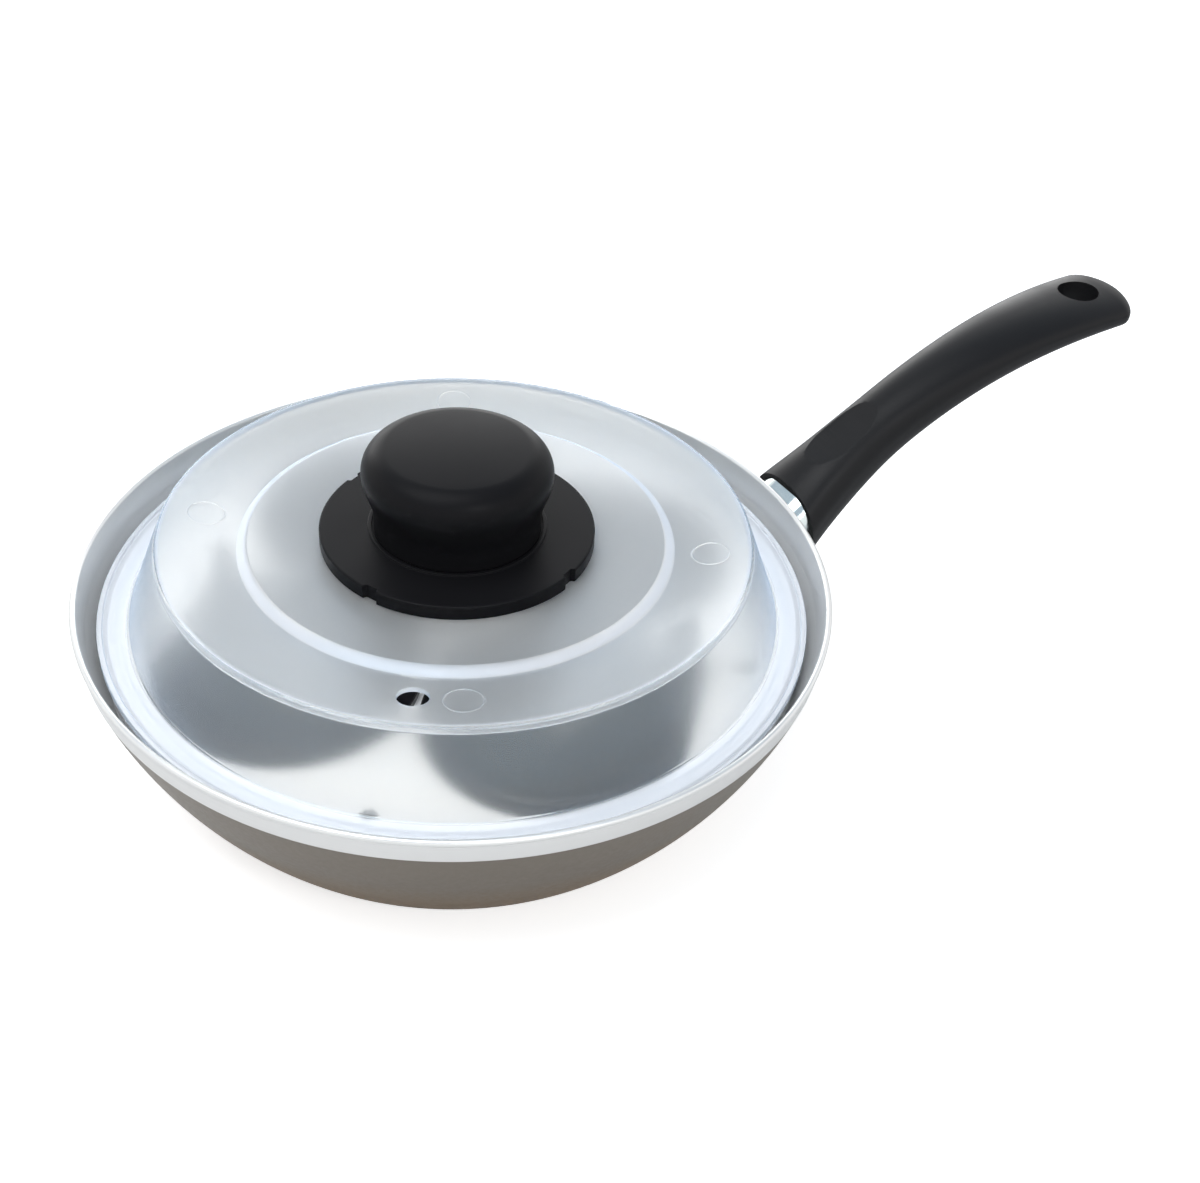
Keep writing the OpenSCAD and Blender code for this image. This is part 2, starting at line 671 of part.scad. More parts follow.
module knob_skirt() {
    collar_r = neck_r + collar_gap;
    pts = [[screw_r + hole_play, disc_seat_z], [disc_boss_r, disc_seat_z], [disc_boss_r, disc_z - disc_t],
           [disc_r - disc_t, disc_z - disc_t], [disc_r - disc_t, disc_seat_z], [disc_r, disc_seat_z],
           [disc_r, disc_z - edge_bevel], [disc_r - edge_bevel, disc_z], [collar_r + collar_w, disc_z],
           [collar_r + collar_w, disc_z + collar_h], [collar_r, disc_z + collar_h],
           [collar_r, disc_z], [screw_r + hole_play, disc_z]];
    color("#1f1f22") difference() {
        rotate_extrude($fn = 128) polygon(pts);
        for (k = [0 : 3]) rotate([0, 0, disc_notch_a + 90 * k]) translate([disc_r, 0, disc_z])
            cube([2 * disc_notch_deep, disc_notch_w, 4 * disc_h], center = true);
    }
}

module knob() {
    flare = [for (i = [0 : flare_steps - 1]) let (t = i / flare_steps)
        [neck_r + (knob_r - neck_r) * ease(t), flare_z + neck_flare_h * t]];
    round_c = [knob_r - knob_round, knob_wide_z];
    shoulder = arc(round_c, knob_round, 0, 90 - crown_a, 8);
    crown_R = shoulder[8][0] / sin(crown_a);
    crown = arc([0, shoulder[8][1] - crown_R * cos(crown_a)], crown_R, 90 - crown_a, 90, 3);
    color("#1c1c1f") difference() {
        rotate_extrude($fn = 128)
            polygon(concat([[0, disc_z], [neck_r, disc_z]], flare, shoulder, crown));
        translate([0, 0, disc_z - 1]) cylinder(d = insert_d, h = insert_len + 1);
    }
}

module knob_insert() {
    color("#c9a85a") difference() {
        translate([0, 0, disc_z]) cylinder(d = insert_d, h = insert_len);
        translate([0, 0, disc_z - 1]) cylinder(r = screw_r + thread_play, h = insert_len + 2);
    }
}

module knob_washer() {
    color("#c9ccce") translate([0, 0, knob_bolt_z]) washer(washer_d / 2);
}

module knob_screw() {
    color("#c2c5c8") translate([0, 0, knob_bolt_z])
        screw(disc_z + insert_len - thread_end - knob_bolt_z);
}

pan_body();
handle_bracket();
ferrule();
handle();
handle_washer();
handle_screw();
tray();
lift_post();
cup(0);  // cup_1
cup(1);  // cup_2
cup(2);  // cup_3
cup(3);  // cup_4
lid_shell();
knob_skirt();
knob();
knob_insert();
knob_washer();
knob_screw();
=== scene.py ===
# Egg poacher pan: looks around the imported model. Sizes are in millimetres until a mesh is made.
import math

import bpy
import numpy as np
from mathutils import Matrix, Vector


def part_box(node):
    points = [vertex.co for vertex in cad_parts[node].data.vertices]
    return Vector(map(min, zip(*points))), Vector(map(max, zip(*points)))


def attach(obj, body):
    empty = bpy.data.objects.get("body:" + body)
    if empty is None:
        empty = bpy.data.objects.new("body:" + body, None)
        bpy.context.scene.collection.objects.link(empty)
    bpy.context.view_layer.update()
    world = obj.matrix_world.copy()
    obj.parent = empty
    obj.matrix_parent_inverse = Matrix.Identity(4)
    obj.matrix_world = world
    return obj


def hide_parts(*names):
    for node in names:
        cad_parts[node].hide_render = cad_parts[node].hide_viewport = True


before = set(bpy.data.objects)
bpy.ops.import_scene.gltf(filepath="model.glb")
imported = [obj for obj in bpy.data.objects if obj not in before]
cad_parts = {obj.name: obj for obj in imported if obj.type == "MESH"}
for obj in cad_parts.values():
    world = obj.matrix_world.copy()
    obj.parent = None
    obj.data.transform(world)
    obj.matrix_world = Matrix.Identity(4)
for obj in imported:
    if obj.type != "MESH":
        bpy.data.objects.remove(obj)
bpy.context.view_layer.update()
mm = 0.001
scene = bpy.context.scene


# Camera and light

cameraSet = {
    "distance": 461.0,      # from the lens to the middle of the rim
    "elevation": 36.79,     # above the rim
    "handleAzimuth": 27.5,  # how far the handle turns away from the picture's right
    "roll": -0.11,
    "focal": 960.0,         # in pixels of the photograph
    "rimPixel": (740.7, 295.3),
    "middlePixel": (822.0, 307.0),
    "enlarge": 1.75,        # the closed pan fills the frame
    "frameWidth": 1200.0,
    "sensor": 36.0,
}
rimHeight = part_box("pan_body")[1].z


def makeCamera(c):
    # Aim at the rim's middle, then turn until that middle falls on its own pixel
    el, az = math.radians(c["elevation"]), math.radians(c["handleAzimuth"])
    d = c["distance"] * mm
    eye = Vector((0, -d * math.cos(el), d * math.sin(el)))
    fwd = Vector((0, math.cos(el), -math.sin(el)))
    right = Vector((1, 0, 0))
    up = right.cross(fwd)
    aim = Vector((c["rimPixel"][0] - c["middlePixel"][0],
                  c["middlePixel"][1] - c["rimPixel"][1], c["focal"])).normalized()
    turn = Vector((0, 0, 1)).rotation_difference(aim).to_matrix()
    axes = turn @ Matrix.Rotation(math.radians(c["roll"]), 3, "Z") @ Matrix((right, up, fwd))
    spin = Matrix.Rotation(-az, 3, "Z")
    cols = [spin @ Vector(axes[i]) for i in range(3)]
    pose = Matrix((cols[0], cols[1], -cols[2])).transposed().to_4x4()
    pose.translation = spin @ eye + Vector((0, 0, rimHeight))
    data = bpy.data.cameras.new("camera")
    data.sensor_fit = "HORIZONTAL"
    data.sensor_width = c["sensor"]
    data.lens = c["focal"] * c["enlarge"] / c["frameWidth"] * c["sensor"]
    data.clip_start = 0.01
    cam = bpy.data.objects.new("camera", data)
    cam.matrix_world = pose
    scene.collection.objects.link(cam)
    scene.camera = cam
    return spin


turned = makeCamera(cameraSet)


studio = {
    "backdropTop": 0.585,   # sine of the angle over the horizon at which the white backdrop ends
    "ceilingFrom": 0.63,
    "ceiling": (0.42, 0.49, 0.57),
    "strength": 0.8,
    "glossLift": 0.5,       # glossy rays meet a brighter backdrop
}


def makeWorld(s):
    # White up to the top of a backdrop and a dimmer ceiling over it, and plain white for the camera
    world = bpy.data.worlds.new("studio")
    world.use_nodes = True
    nt = world.node_tree
    nt.nodes.clear()
    out = nt.nodes.new("ShaderNodeOutputWorld")
    coord = nt.nodes.new("ShaderNodeTexCoord")
    split = nt.nodes.new("ShaderNodeSeparateXYZ")
    ramp = nt.nodes.new("ShaderNodeValToRGB")
    light = nt.nodes.new("ShaderNodeBackground")
    white = nt.nodes.new("ShaderNodeBackground")
    path = nt.nodes.new("ShaderNodeLightPath")
    mix = nt.nodes.new("ShaderNodeMixShader")
    lift = nt.nodes.new("ShaderNodeMath")
    low, high = ramp.color_ramp.elements
    low.position = s["backdropTop"]
    low.color = (1, 1, 1, 1)
    high.position = s["ceilingFrom"]
    high.color = (*s["ceiling"], 1)
    white.inputs["Color"].default_value = (1, 1, 1, 1)
    lift.operation = "MULTIPLY_ADD"
    lift.inputs[1].default_value = s["glossLift"]
    lift.inputs[2].default_value = s["strength"]
    nt.links.new(coord.outputs["Generated"], split.inputs[0])
    nt.links.new(split.outputs["Z"], ramp.inputs[0])
    nt.links.new(ramp.outputs[0], light.inputs["Color"])
    nt.links.new(path.outputs["Is Glossy Ray"], lift.inputs[0])
    nt.links.new(lift.outputs[0], light.inputs["Strength"])
    nt.links.new(path.outputs["Is Camera Ray"], mix.inputs[0])
    nt.links.new(light.outputs[0], mix.inputs[1])
    nt.links.new(white.outputs[0], mix.inputs[2])
    nt.links.new(mix.outputs[0], out.inputs[0])
    scene.world = world


makeWorld(studio)

lamps = {  # place in metres on the camera's axes, width, height, power in watts, seen only in gloss
    "overhead": ((-0.25, -0.1, 0.95), 0.7, 0.7, 6.0, False),
    "front": ((0.35, -0.75, 0.7), 0.22, 0.22, 1.6, False),
    "backdrop": ((-0.15, 1.3, 0.38), 1.5, 0.7, 10.0, True),
}


def makeLamp(name, place, width, height, power, glossOnly):
    # An area lamp aimed at the middle of the rim, or an upright screen that only gloss shows
    data = bpy.data.lights.new(name, "AREA")
    data.shape = "RECTANGLE"
    data.size = width
    data.size_y = height
    data.energy = power
    lamp = bpy.data.objects.new(name, data)
    lamp.location = turned @ Vector(place)
    aimAt = Vector((0, 0, rimHeight)) - lamp.location
    if glossOnly:
        aimAt.z = 0
        lamp.visible_camera = lamp.visible_diffuse = lamp.visible_transmission = False
    lamp.rotation_euler = aimAt.to_track_quat("-Z", "Y").to_euler()
    scene.collection.objects.link(lamp)


for name, values in lamps.items():
    makeLamp(name, *values)

scene.view_settings.view_transform = "Standard"
print("camera and light")


# Materials

def newMaterial(name, color, roughness, metallic=0.0):
    mat = bpy.data.materials.new(name)
    mat.use_nodes = True
    shader = mat.node_tree.nodes["Principled BSDF"]
    shader.inputs["Base Color"].default_value = (*color, 1)
    shader.inputs["Roughness"].default_value = roughness
    shader.inputs["Metallic"].default_value = metallic
    return mat


def nodeOf(mat, kind, **values):
    n = mat.node_tree.nodes.new(kind)
    for key, value in values.items():
        n.inputs[key].default_value = value
    return n


def noise(mat, scale, stretch=(1, 1, 1)):
    coord = nodeOf(mat, "ShaderNodeTexCoord")
    place = nodeOf(mat, "ShaderNodeMapping", Scale=stretch)
    tex = nodeOf(mat, "ShaderNodeTexNoise", Scale=scale, Detail=3.0, Roughness=0.5)
    mat.node_tree.links.new(coord.outputs["Object"], place.inputs["Vector"])
    mat.node_tree.links.new(place.outputs[0], tex.inputs["Vector"])
    return tex.outputs["Fac"]


def ranged(mat, value, low, high, lowIn=0.3, highIn=0.7):
    # Values from lowIn to highIn become values from low to high
    ends = {"From Min": lowIn, "From Max": highIn, "To Min": low, "To Max": high}
    m = nodeOf(mat, "ShaderNodeMapRange", **ends)
    mat.node_tree.links.new(value, m.inputs["Value"])
    return m.outputs["Result"]


def blendColor(mat, factor, a, b):
    m = mat.node_tree.nodes.new("ShaderNodeMix")
    m.data_type = "RGBA"
    m.inputs[6].default_value = (*a, 1)
    m.inputs[7].default_value = (*b, 1)
    mat.node_tree.links.new(factor, m.inputs[0])
    return m.outputs[2]


def shaderOf(mat):
    return mat.node_tree.nodes["Principled BSDF"]


def drive(mat, socket, output):
    mat.node_tree.links.new(output, shaderOf(mat).inputs[socket])


def bump(mat, height, strength, distance):
    b = nodeOf(mat, "ShaderNodeBump", Strength=strength, Distance=distance)
    mat.node_tree.links.new(height, b.inputs["Height"])
    drive(mat, "Normal", b.outputs[0])


def lampsThrough(mat, tint):
    # Rays from lamps pass the clear plastic, so what is under it is lit
    nt = mat.node_tree
    out = next(n for n in nt.nodes if n.type == "OUTPUT_MATERIAL")
    path = nodeOf(mat, "ShaderNodeLightPath")
    clear = nodeOf(mat, "ShaderNodeBsdfTransparent", Color=(*tint, 1))
    mix = nodeOf(mat, "ShaderNodeMixShader")
    nt.links.new(path.outputs["Is Shadow Ray"], mix.inputs[0])
    nt.links.new(shaderOf(mat).outputs[0], mix.inputs[1])
    nt.links.new(clear.outputs[0], mix.inputs[2])
    nt.links.new(mix.outputs[0], out.inputs["Surface"])


def makePaint():
    # Warm grey metallic coat, browner low down
    mat = newMaterial("metallicCoat", (0.2, 0.17, 0.14), 0.36, 0.45)
    coord = nodeOf(mat, "ShaderNodeTexCoord")
    split = nodeOf(mat, "ShaderNodeSeparateXYZ")
    mat.node_tree.links.new(coord.outputs["Object"], split.inputs[0])
    low = ranged(mat, split.outputs["Z"], 0.0, 1.0, 0.012, 0.030)
    drive(mat, "Base Color", blendColor(mat, low, (0.17, 0.11, 0.055), (0.155, 0.132, 0.105)))
    drive(mat, "Roughness", ranged(mat, noise(mat, 700), 0.34, 0.4))
    return mat


def makeBare():
    # Bare satin aluminium, turned, so its marks run round the axis
    mat = newMaterial("bareAluminium", (0.72, 0.72, 0.71), 0.34, 0.8)
    drive(mat, "Roughness", ranged(mat, noise(mat, 300, stretch=(0.3, 0.3, 6)), 0.28, 0.42))
    return mat


def makePlastic(name, color, roughness, spread, grain, depth, shine=0.5):
    # Solid plastic: its roughness wanders by spread, and a fine grain of that depth marks it
    mat = newMaterial(name, color, roughness)
    shaderOf(mat).inputs["Specular IOR Level"].default_value = shine
    drive(mat, "Roughness", ranged(mat, noise(mat, 60), roughness - spread, roughness + spread))
    if depth:
        bump(mat, noise(mat, grain), 0.3, depth)
    return mat


def makeMetal(name, color, metallic, grain, low, high):
    # Plain metal whose roughness wanders between low and high
    mat = newMaterial(name, color, (low + high) / 2, metallic)
    drive(mat, "Roughness", ranged(mat, noise(mat, grain), low, high))
    return mat


def mathNode(mat, operation, a, b=0.0):
    m = mat.node_tree.nodes.new("ShaderNodeMath")
    m.operation = operation
    for socket, value in zip(m.inputs, (a, b)):
        if isinstance(value, float):
            socket.default_value = value
        else:
            mat.node_tree.links.new(value, socket)
    return m.outputs[0]


def radiusOf(mat):
    # Distance from the axis: the square root of x squared plus y squared
    coord = nodeOf(mat, "ShaderNodeTexCoord")
    split = nodeOf(mat, "ShaderNodeSeparateXYZ")
    mat.node_tree.links.new(coord.outputs["Object"], split.inputs[0])
    x, y = split.outputs["X"], split.outputs["Y"]
    squares = mathNode(mat, "ADD", mathNode(mat, "MULTIPLY", x, x), mathNode(mat, "MULTIPLY", y, y))
    return mathNode(mat, "SQRT", squares)


# the second tint and its blur paint highlight: whiter rings where light catches the lid's bends
lidFinish = {
    "tint": (0.88, 0.87, 0.84), "highlightTint": (0.9, 0.91, 0.93), "highlightBlur": 0.8,
    "lampTint": (0.9, 0.92, 0.94), "ior": 1.46, "glossTint": (0.3, 0.65, 1.0),
    "haze": 0.3, "hazeTint": (0.2, 0.55, 1.0), "hazeRoughness": 0.45,
}


def makeLid(name, milk, roughness, highlightRings, highlightMilk):
    # Milky plastic with a bluish haze, and painted highlight: whiter, milkier rings where light catches its
    # bends. Each ring is a radius and a half width
    f = lidFinish
    mat = newMaterial(name, f["tint"], roughness)
    sockets = shaderOf(mat).inputs
    sockets["IOR"].default_value = f["ior"]
    sockets["Specular Tint"].default_value = (*f["glossTint"], 1)
    sockets["Sheen Weight"].default_value = f["haze"]
    sockets["Sheen Roughness"].default_value = f["hazeRoughness"]
    sockets["Sheen Tint"].default_value = (*f["hazeTint"], 1)
    r = radiusOf(mat)
    highlightMask = None
    # each ring is painted highlight, milkier and whiter where light catches a bend
    for radius, half in highlightRings:
        away = mathNode(mat, "ABSOLUTE", mathNode(mat, "SUBTRACT", r, radius * mm))
        ring = ranged(mat, away, 1.0, 0.0, half * mm, (half + f["highlightBlur"]) * mm)
        highlightMask = ring if highlightMask is None else mathNode(mat, "MAXIMUM", highlightMask, ring)
    drive(mat, "Transmission Weight", ranged(mat, highlightMask, 1 - milk, 1 - highlightMilk, 0.0, 1.0))
    drive(mat, "Base Color", blendColor(mat, highlightMask, f["tint"], f["highlightTint"]))
    lampsThrough(mat, f["lampTint"])
    return mat


paint = makePaint()
bare = makeBare()
zinc = makeMetal("brightZinc", (0.6, 0.66, 0.66), 1.0, 220, 0.12, 0.22)
steel = makeMetal("platedSteel", (0.62, 0.63, 0.64), 1.0, 400, 0.22, 0.36)
castMetal = makeMetal("castAluminium", (0.55, 0.55, 0.54), 0.9, 500, 0.42, 0.6)
brass = makeMetal("turnedBrass", (0.75, 0.58, 0.28), 1.0, 400, 0.25, 0.38)
phenolic = makePlastic("blackPhenolic", (0.008, 0.008, 0.009), 0.42, 0.05, 1400, 0.00004, 0.17)
knobBlack = makePlastic("satinBlack", (0.007, 0.007, 0.008), 0.38, 0.05, 1600, 0.00003, 0.06)
cupBlack = makePlastic("polishedBlack", (0.005, 0.005, 0.006), 0.1, 0.03, 300, 0)
trayWhite = makePlastic("trayWhite", (0.85, 0.86, 0.88), 0.3, 0.05, 900, 0.00002)
postMilk = newMaterial("cloudyPlastic", (0.86, 0.88, 0.9), 0.3)
shaderOf(postMilk).inputs["Transmission Weight"].default_value = 0.5
lampsThrough(postMilk, (0.7, 0.7, 0.7))
print("materials")


# Mesh tools

def rounded(corners, steps=4):
    # A line through (r, z, fillet) corners: each fillet is an arc tangent to both sides
    pts = np.array([c[:2] for c in corners], float)
    out = [pts[:1]]
    for i in range(1, len(pts) - 1):
        p, rad = pts[i], corners[i][2]
        a, b = pts[i - 1] - p, pts[i + 1] - p
        a, b = a / np.linalg.norm(a), b / np.linalg.norm(b)
        half = 0.5 * math.acos(np.clip(a @ b, -1, 1))
        if rad <= 0 or half > 1.55:
            out.append(p[None])
            continue
        mid = (a + b) / np.linalg.norm(a + b)
        centre = p + mid * rad / math.sin(half)
        t = np.linspace(-1, 1, steps + 1)[:, None] * (math.pi / 2 - half)
        side = (b - a) / np.linalg.norm(b - a)
        out.append(centre - rad * (mid * np.cos(t) - side * np.sin(t)))
    out.append(pts[-1:])
    return np.vstack(out)


def spaced(line, step):
    # The same line with points added so that no gap is over step
    parts = [line[:1]]
    for a, b in zip(line[:-1], line[1:]):
        n = max(1, int(math.ceil(np.linalg.norm(b - a) / step)))
        parts.append(a + (b - a) * (np.arange(1, n + 1) / n)[:, None])
    return np.vstack(parts)


def arcPoints(centre, radius, start, end, steps):
    # Points on a circle, from the start angle to the end angle
    a = np.radians(np.linspace(start, end, steps + 1))
    return np.stack([centre[0] + radius * np.cos(a), centre[1] + radius * np.sin(a)], 1)


def buildMesh(name, verts, faces, materials, faceSlots=None, sharp=40.0):
    mesh = bpy.data.meshes.new(name)
    mesh.from_pydata((np.asarray(verts) * mm).tolist(), [], [list(map(int, f)) for f in faces])
    for m in materials:
        mesh.materials.append(m)
    if faceSlots is not None:
        mesh.polygons.foreach_set("material_index", np.asarray(faceSlots, np.int32))
    mesh.validate()
    obj = bpy.data.objects.new(name, mesh)
    scene.collection.objects.link(obj)
    finishMesh(obj, sharp)
    return obj


def finishMesh(obj, sharp):
    # Outward normals, smooth faces, and creases where faces turn by more than sharp
    bpy.context.view_layer.objects.active = obj
    for o in bpy.context.selected_objects:
        o.select_set(False)
    obj.select_set(True)
    bpy.ops.object.mode_set(mode="EDIT")
    bpy.ops.mesh.select_all(action="SELECT")
    bpy.ops.mesh.normals_make_consistent(inside=False)
    bpy.ops.object.mode_set(mode="OBJECT")
    obj.data.polygons.foreach_set("use_smooth", np.ones(len(obj.data.polygons), bool))
    obj.data.set_sharp_from_angle(angle=math.radians(sharp))


def weighted(obj):
    mod = obj.modifiers.new("even shading", "WEIGHTED_NORMAL")
    mod.keep_sharp = True
    mod.weight = 60


def latheParts(line, segments):
    # Turn an (r, z) line round the axis: x = r cos a, y = r sin a. Axis points become one pole.
    a = np.arange(segments) * (2 * math.pi / segments)
    onAxis = line[:, 0] < 1e-6
    counts = np.where(onAxis, 1, segments)
    first = np.concatenate([[0], np.cumsum(counts)[:-1]])
    verts = [np.array([[0, 0, p[1]]]) if pole else
             np.stack([p[0] * np.cos(a), p[0] * np.sin(a), np.full(segments, p[1])], 1)
             for p, pole in zip(line, onAxis)]
    j = np.arange(segments)
    k = (j + 1) % segments
    faces, rows = [], []
    for i in range(len(line) - 1):
        lo = first[i] + (0 * j if onAxis[i] else j)
        loNext = first[i] + (0 * j if onAxis[i] else k)
        hi = first[i + 1] + (0 * j if onAxis[i + 1] else j)
        hiNext = first[i + 1] + (0 * j if onAxis[i + 1] else k)
        if onAxis[i]:
            faces.append(np.stack([lo, hi, hiNext], 1))
        elif onAxis[i + 1]:
            faces.append(np.stack([lo, hi, loNext], 1))
        else:
            faces.append(np.stack([lo, hi, hiNext, loNext], 1))
        rows += [i] * segments
    return np.vstack(verts), [f for block in faces for f in block], np.array(rows)


def lathe(name, line, segments, materials, coated=0, sharp=40.0):
    # The first rows, coated in number, take the first material and the rest the second
    verts, faces, rows = latheParts(line, segments)
    slots = np.where(rows < coated, 0, 1) if coated else None
    return buildMesh(name, verts, faces, materials, slots, sharp)


def sweep(name, rings, materials, sharp=40.0):
    # Rings of points joined in turn, with the first and last filled
    n, m = rings.shape[:2]
    i, j = np.meshgrid(np.arange(n - 1), np.arange(m), indexing="ij")
    k = (j + 1) % m
    quads = np.stack([i * m + j, (i + 1) * m + j, (i + 1) * m + k, i * m + k], -1).reshape(-1, 4)
    caps = [np.arange(m), (n - 1) * m + np.arange(m)[::-1]]
    return buildMesh(name, rings.reshape(-1, 3), list(quads) + caps, materials, None, sharp)


def cutBy(obj, cutters):
    # Boolean difference with each cutter, applied
    for c in cutters:
        mod = obj.modifiers.new("cut", "BOOLEAN")
        mod.operation = "DIFFERENCE"
        mod.solver = "EXACT"
        mod.object = c
        bpy.context.view_layer.objects.active = obj
        bpy.ops.object.modifier_apply(modifier=mod.name)
        bpy.data.objects.remove(c)


def placed(obj, matrix):
    # Move the mesh itself, so that the object stays at the origin
    obj.data.transform(Matrix.LocRotScale(matrix.to_translation() * mm, matrix.to_quaternion(), None))
    return obj


def eased(t):
    # 3 t squared less 2 t cubed, held between 0 and 1
    u = np.clip(t, 0, 1)
    return u * u * (3 - 2 * u)


def superBend(c, n):
    # A sine or cosine bent for a superellipse: its size to the power 2 / n, with its own sign
    return np.sign(c) * np.abs(c) ** (2 / n)


# Pan

pan = {
    "rimR": 102.5, "height": 53.0, "baseR": 71.0, "footRound": 8.0, "footLean": 41.0,
    "lipH": 7.3, "lipDraft": 1.3, "wall": 1.8, "floor": 3.0, "floorRound": 9.0,
    "seatDepth": 18.4, "seatStep": 2.0, "baseEdge": 1.5, "baseRings": (20.0, 45.0), "segments": 360,
}
lean = math.radians(pan["footLean"])
footPoint = np.array([pan["baseR"] + pan["footRound"] * math.cos(lean),
                      pan["footRound"] * (1 - math.sin(lean))])
footOut = np.array([math.cos(lean), -math.sin(lean)])
lipFoot = np.array([pan["rimR"] - pan["lipDraft"], pan["height"] - pan["lipH"]])
chord = lipFoot - footPoint
wallR = -(chord @ chord) / (2 * (chord @ footOut))
wallC = footPoint - wallR * footOut
seatZ = pan["height"] - pan["seatDepth"]


def wallAt(z, inset=0.0):
    return wallC[0] + math.sqrt((wallR - inset) ** 2 - (z - wallC[1]) ** 2)


def wallAngle(z, radius):
    return math.degrees(math.asin((z - wallC[1]) / radius))


def outerWall():
    # The rounded foot and the wall's arc up to the lip band
    foot = arcPoints((pan["baseR"], pan["footRound"]), pan["footRound"], -90, -pan["footLean"], 10)
    wall = arcPoints(wallC, wallR, -pan["footLean"], wallAngle(lipFoot[1], wallR), 40)
    return np.vstack([foot, wall[1:]])


def makePan():
    # Outside: base, foot, wall arc, lip band and rim. Inside: wall, seat, wall, floor.
    upR, lowR = wallR - pan["wall"], wallR - pan["wall"] - pan["seatStep"]
    rimR, top, floorZ = pan["rimR"], pan["height"], pan["floor"]
    rimRound = pan["wall"] / 2
    roundZ = floorZ + pan["floorRound"]
    roundX = wallC[0] + math.sqrt((lowR - pan["floorRound"]) ** 2 - (roundZ - wallC[1]) ** 2)
    roundA = math.degrees(math.atan2(roundZ - wallC[1], roundX - wallC[0]))
    near, far = pan["baseRings"]
    base = [[0, 0], [near, 0], [far, 0], [pan["baseR"] - pan["baseEdge"], 0]]
    outside = np.vstack([base, outerWall()])
    # a fine step over the coat, and a shallow groove below the rim
    lipBand = np.array([[lipFoot[0] + 0.02, lipFoot[1] + 0.12], [lipFoot[0] + 0.1, lipFoot[1] + 0.3],
                        [rimR - 0.3, top - 2.1], [rimR - 0.42, top - 1.75], [rimR - 0.1, top - 1.35]])
    rim = arcPoints((rimR - rimRound, top - rimRound), rimRound, -10, 180, 12)
    inside = np.vstack([
        arcPoints(wallC, upR, wallAngle(lipFoot[1], upR), wallAngle(seatZ, upR), 16),
        arcPoints(wallC, lowR, wallAngle(seatZ, lowR), roundA, 30),
        arcPoints((roundX, roundZ), pan["floorRound"], roundA, -90, 12)[1:],
        [[far, floorZ], [near, floorZ], [0, floorZ]]])
    line = np.vstack([outside, lipBand, rim, inside])
    return lathe("panShell", line, pan["segments"], [paint, bare], len(outside) - 1, sharp=30)


panShell = makePan()
weighted(panShell)
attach(panShell, "pan")
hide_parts("pan_body")
print("pan")


# Tray

tray = {
    "play": 0.45, "draft": 1.1, "rimDrop": 9.5, "land": 2.5, "ledgeW": 4.1, "ledgeDrop": 3.2,
    "slopeW": 1.5, "plate": 2.0, "footW": 2.0, "ledgeDraft": 0.4, "steamD": 5.0, "steamR": 80.0,
    "round": 0.35, "stemD": 8.1,
}
trayR = wallAt(seatZ, pan["wall"]) - tray["play"]
trayTopR = trayR + tray["draft"]
trayTopZ = pan["height"] - tray["rimDrop"]
landR = trayTopR - tray["land"]
ledgeR = landR - tray["ledgeDraft"]
ledgeZ = trayTopZ - tray["ledgeDrop"]
plateZ = seatZ + tray["plate"]
plateR = ledgeR - tray["ledgeW"] - tray["slopeW"]

cup = {
    "angle": 2.0, "gap": 1.8, "edgeGap": 1.3, "flangeW": 5.1, "flangeH": 2.6, "ringH": 0.6, "ringW": 2.2,
    "wall": 1.6, "deep": 23.0, "turnR": 22.5, "turn": 15.0, "spotR": 9.0, "spotDeep": 0.45, "wallBulge": 0.5,
    "tipOut": 11.9, "tipRound": 3.0, "edgeRound": 0.6, "edgeFlat": 1.4, "holeGap": 0.8, "segments": 384,
    "tabH": 12.5, "tabL": 11.0, "tabT": 4.5, "tabInset": 1.2, "tabLean": 0.12, "tabRound": 2.4,
    "tabFlare": 0.7, "tabSides": 64,
}
flangeR = (plateR - cup["edgeGap"] - cup["gap"] / math.sqrt(2)) / (1 + math.sqrt(2))
cupR = (2 * flangeR + cup["gap"]) / math.sqrt(2)
bowlR = flangeR - cup["flangeW"]
flangeZ = plateZ + cup["flangeH"]
ringZ = flangeZ + cup["ringH"]
tipLen = flangeR + cup["tipOut"]
cornerX = tipLen - cup["tipRound"]
cornerSpread = math.degrees(math.acos((flangeR - cup["tipRound"]) / cornerX))
inward = 135 + cornerSpread - math.degrees(
    math.acos((2 * flangeR + cup["gap"] / 3) / (2 * flangeR + cup["gap"])))
cupTurn = [90, inward, -90, 90]
# the room that the second cup's corner leaves round the middle
turnIn = math.radians(inward)
cornerAway = math.hypot(cupR + cornerX * math.cos(turnIn), cornerX * math.sin(turnIn))
cornerClear = min(-cupR * math.cos(turnIn + math.radians(cornerSpread)) - flangeR, cornerAway - cup["tipRound"])


def cylinderAt(x, y, radius, low, high, segments=128):
    line = np.array([[0, low], [radius, low], [radius, high], [0, high]])
    verts, faces, _ = latheParts(line, segments)
    return buildMesh("cutter", verts + [x, y, 0], faces, [])


def polar(r, degrees):
    return r * math.cos(math.radians(degrees)), r * math.sin(math.radians(degrees))


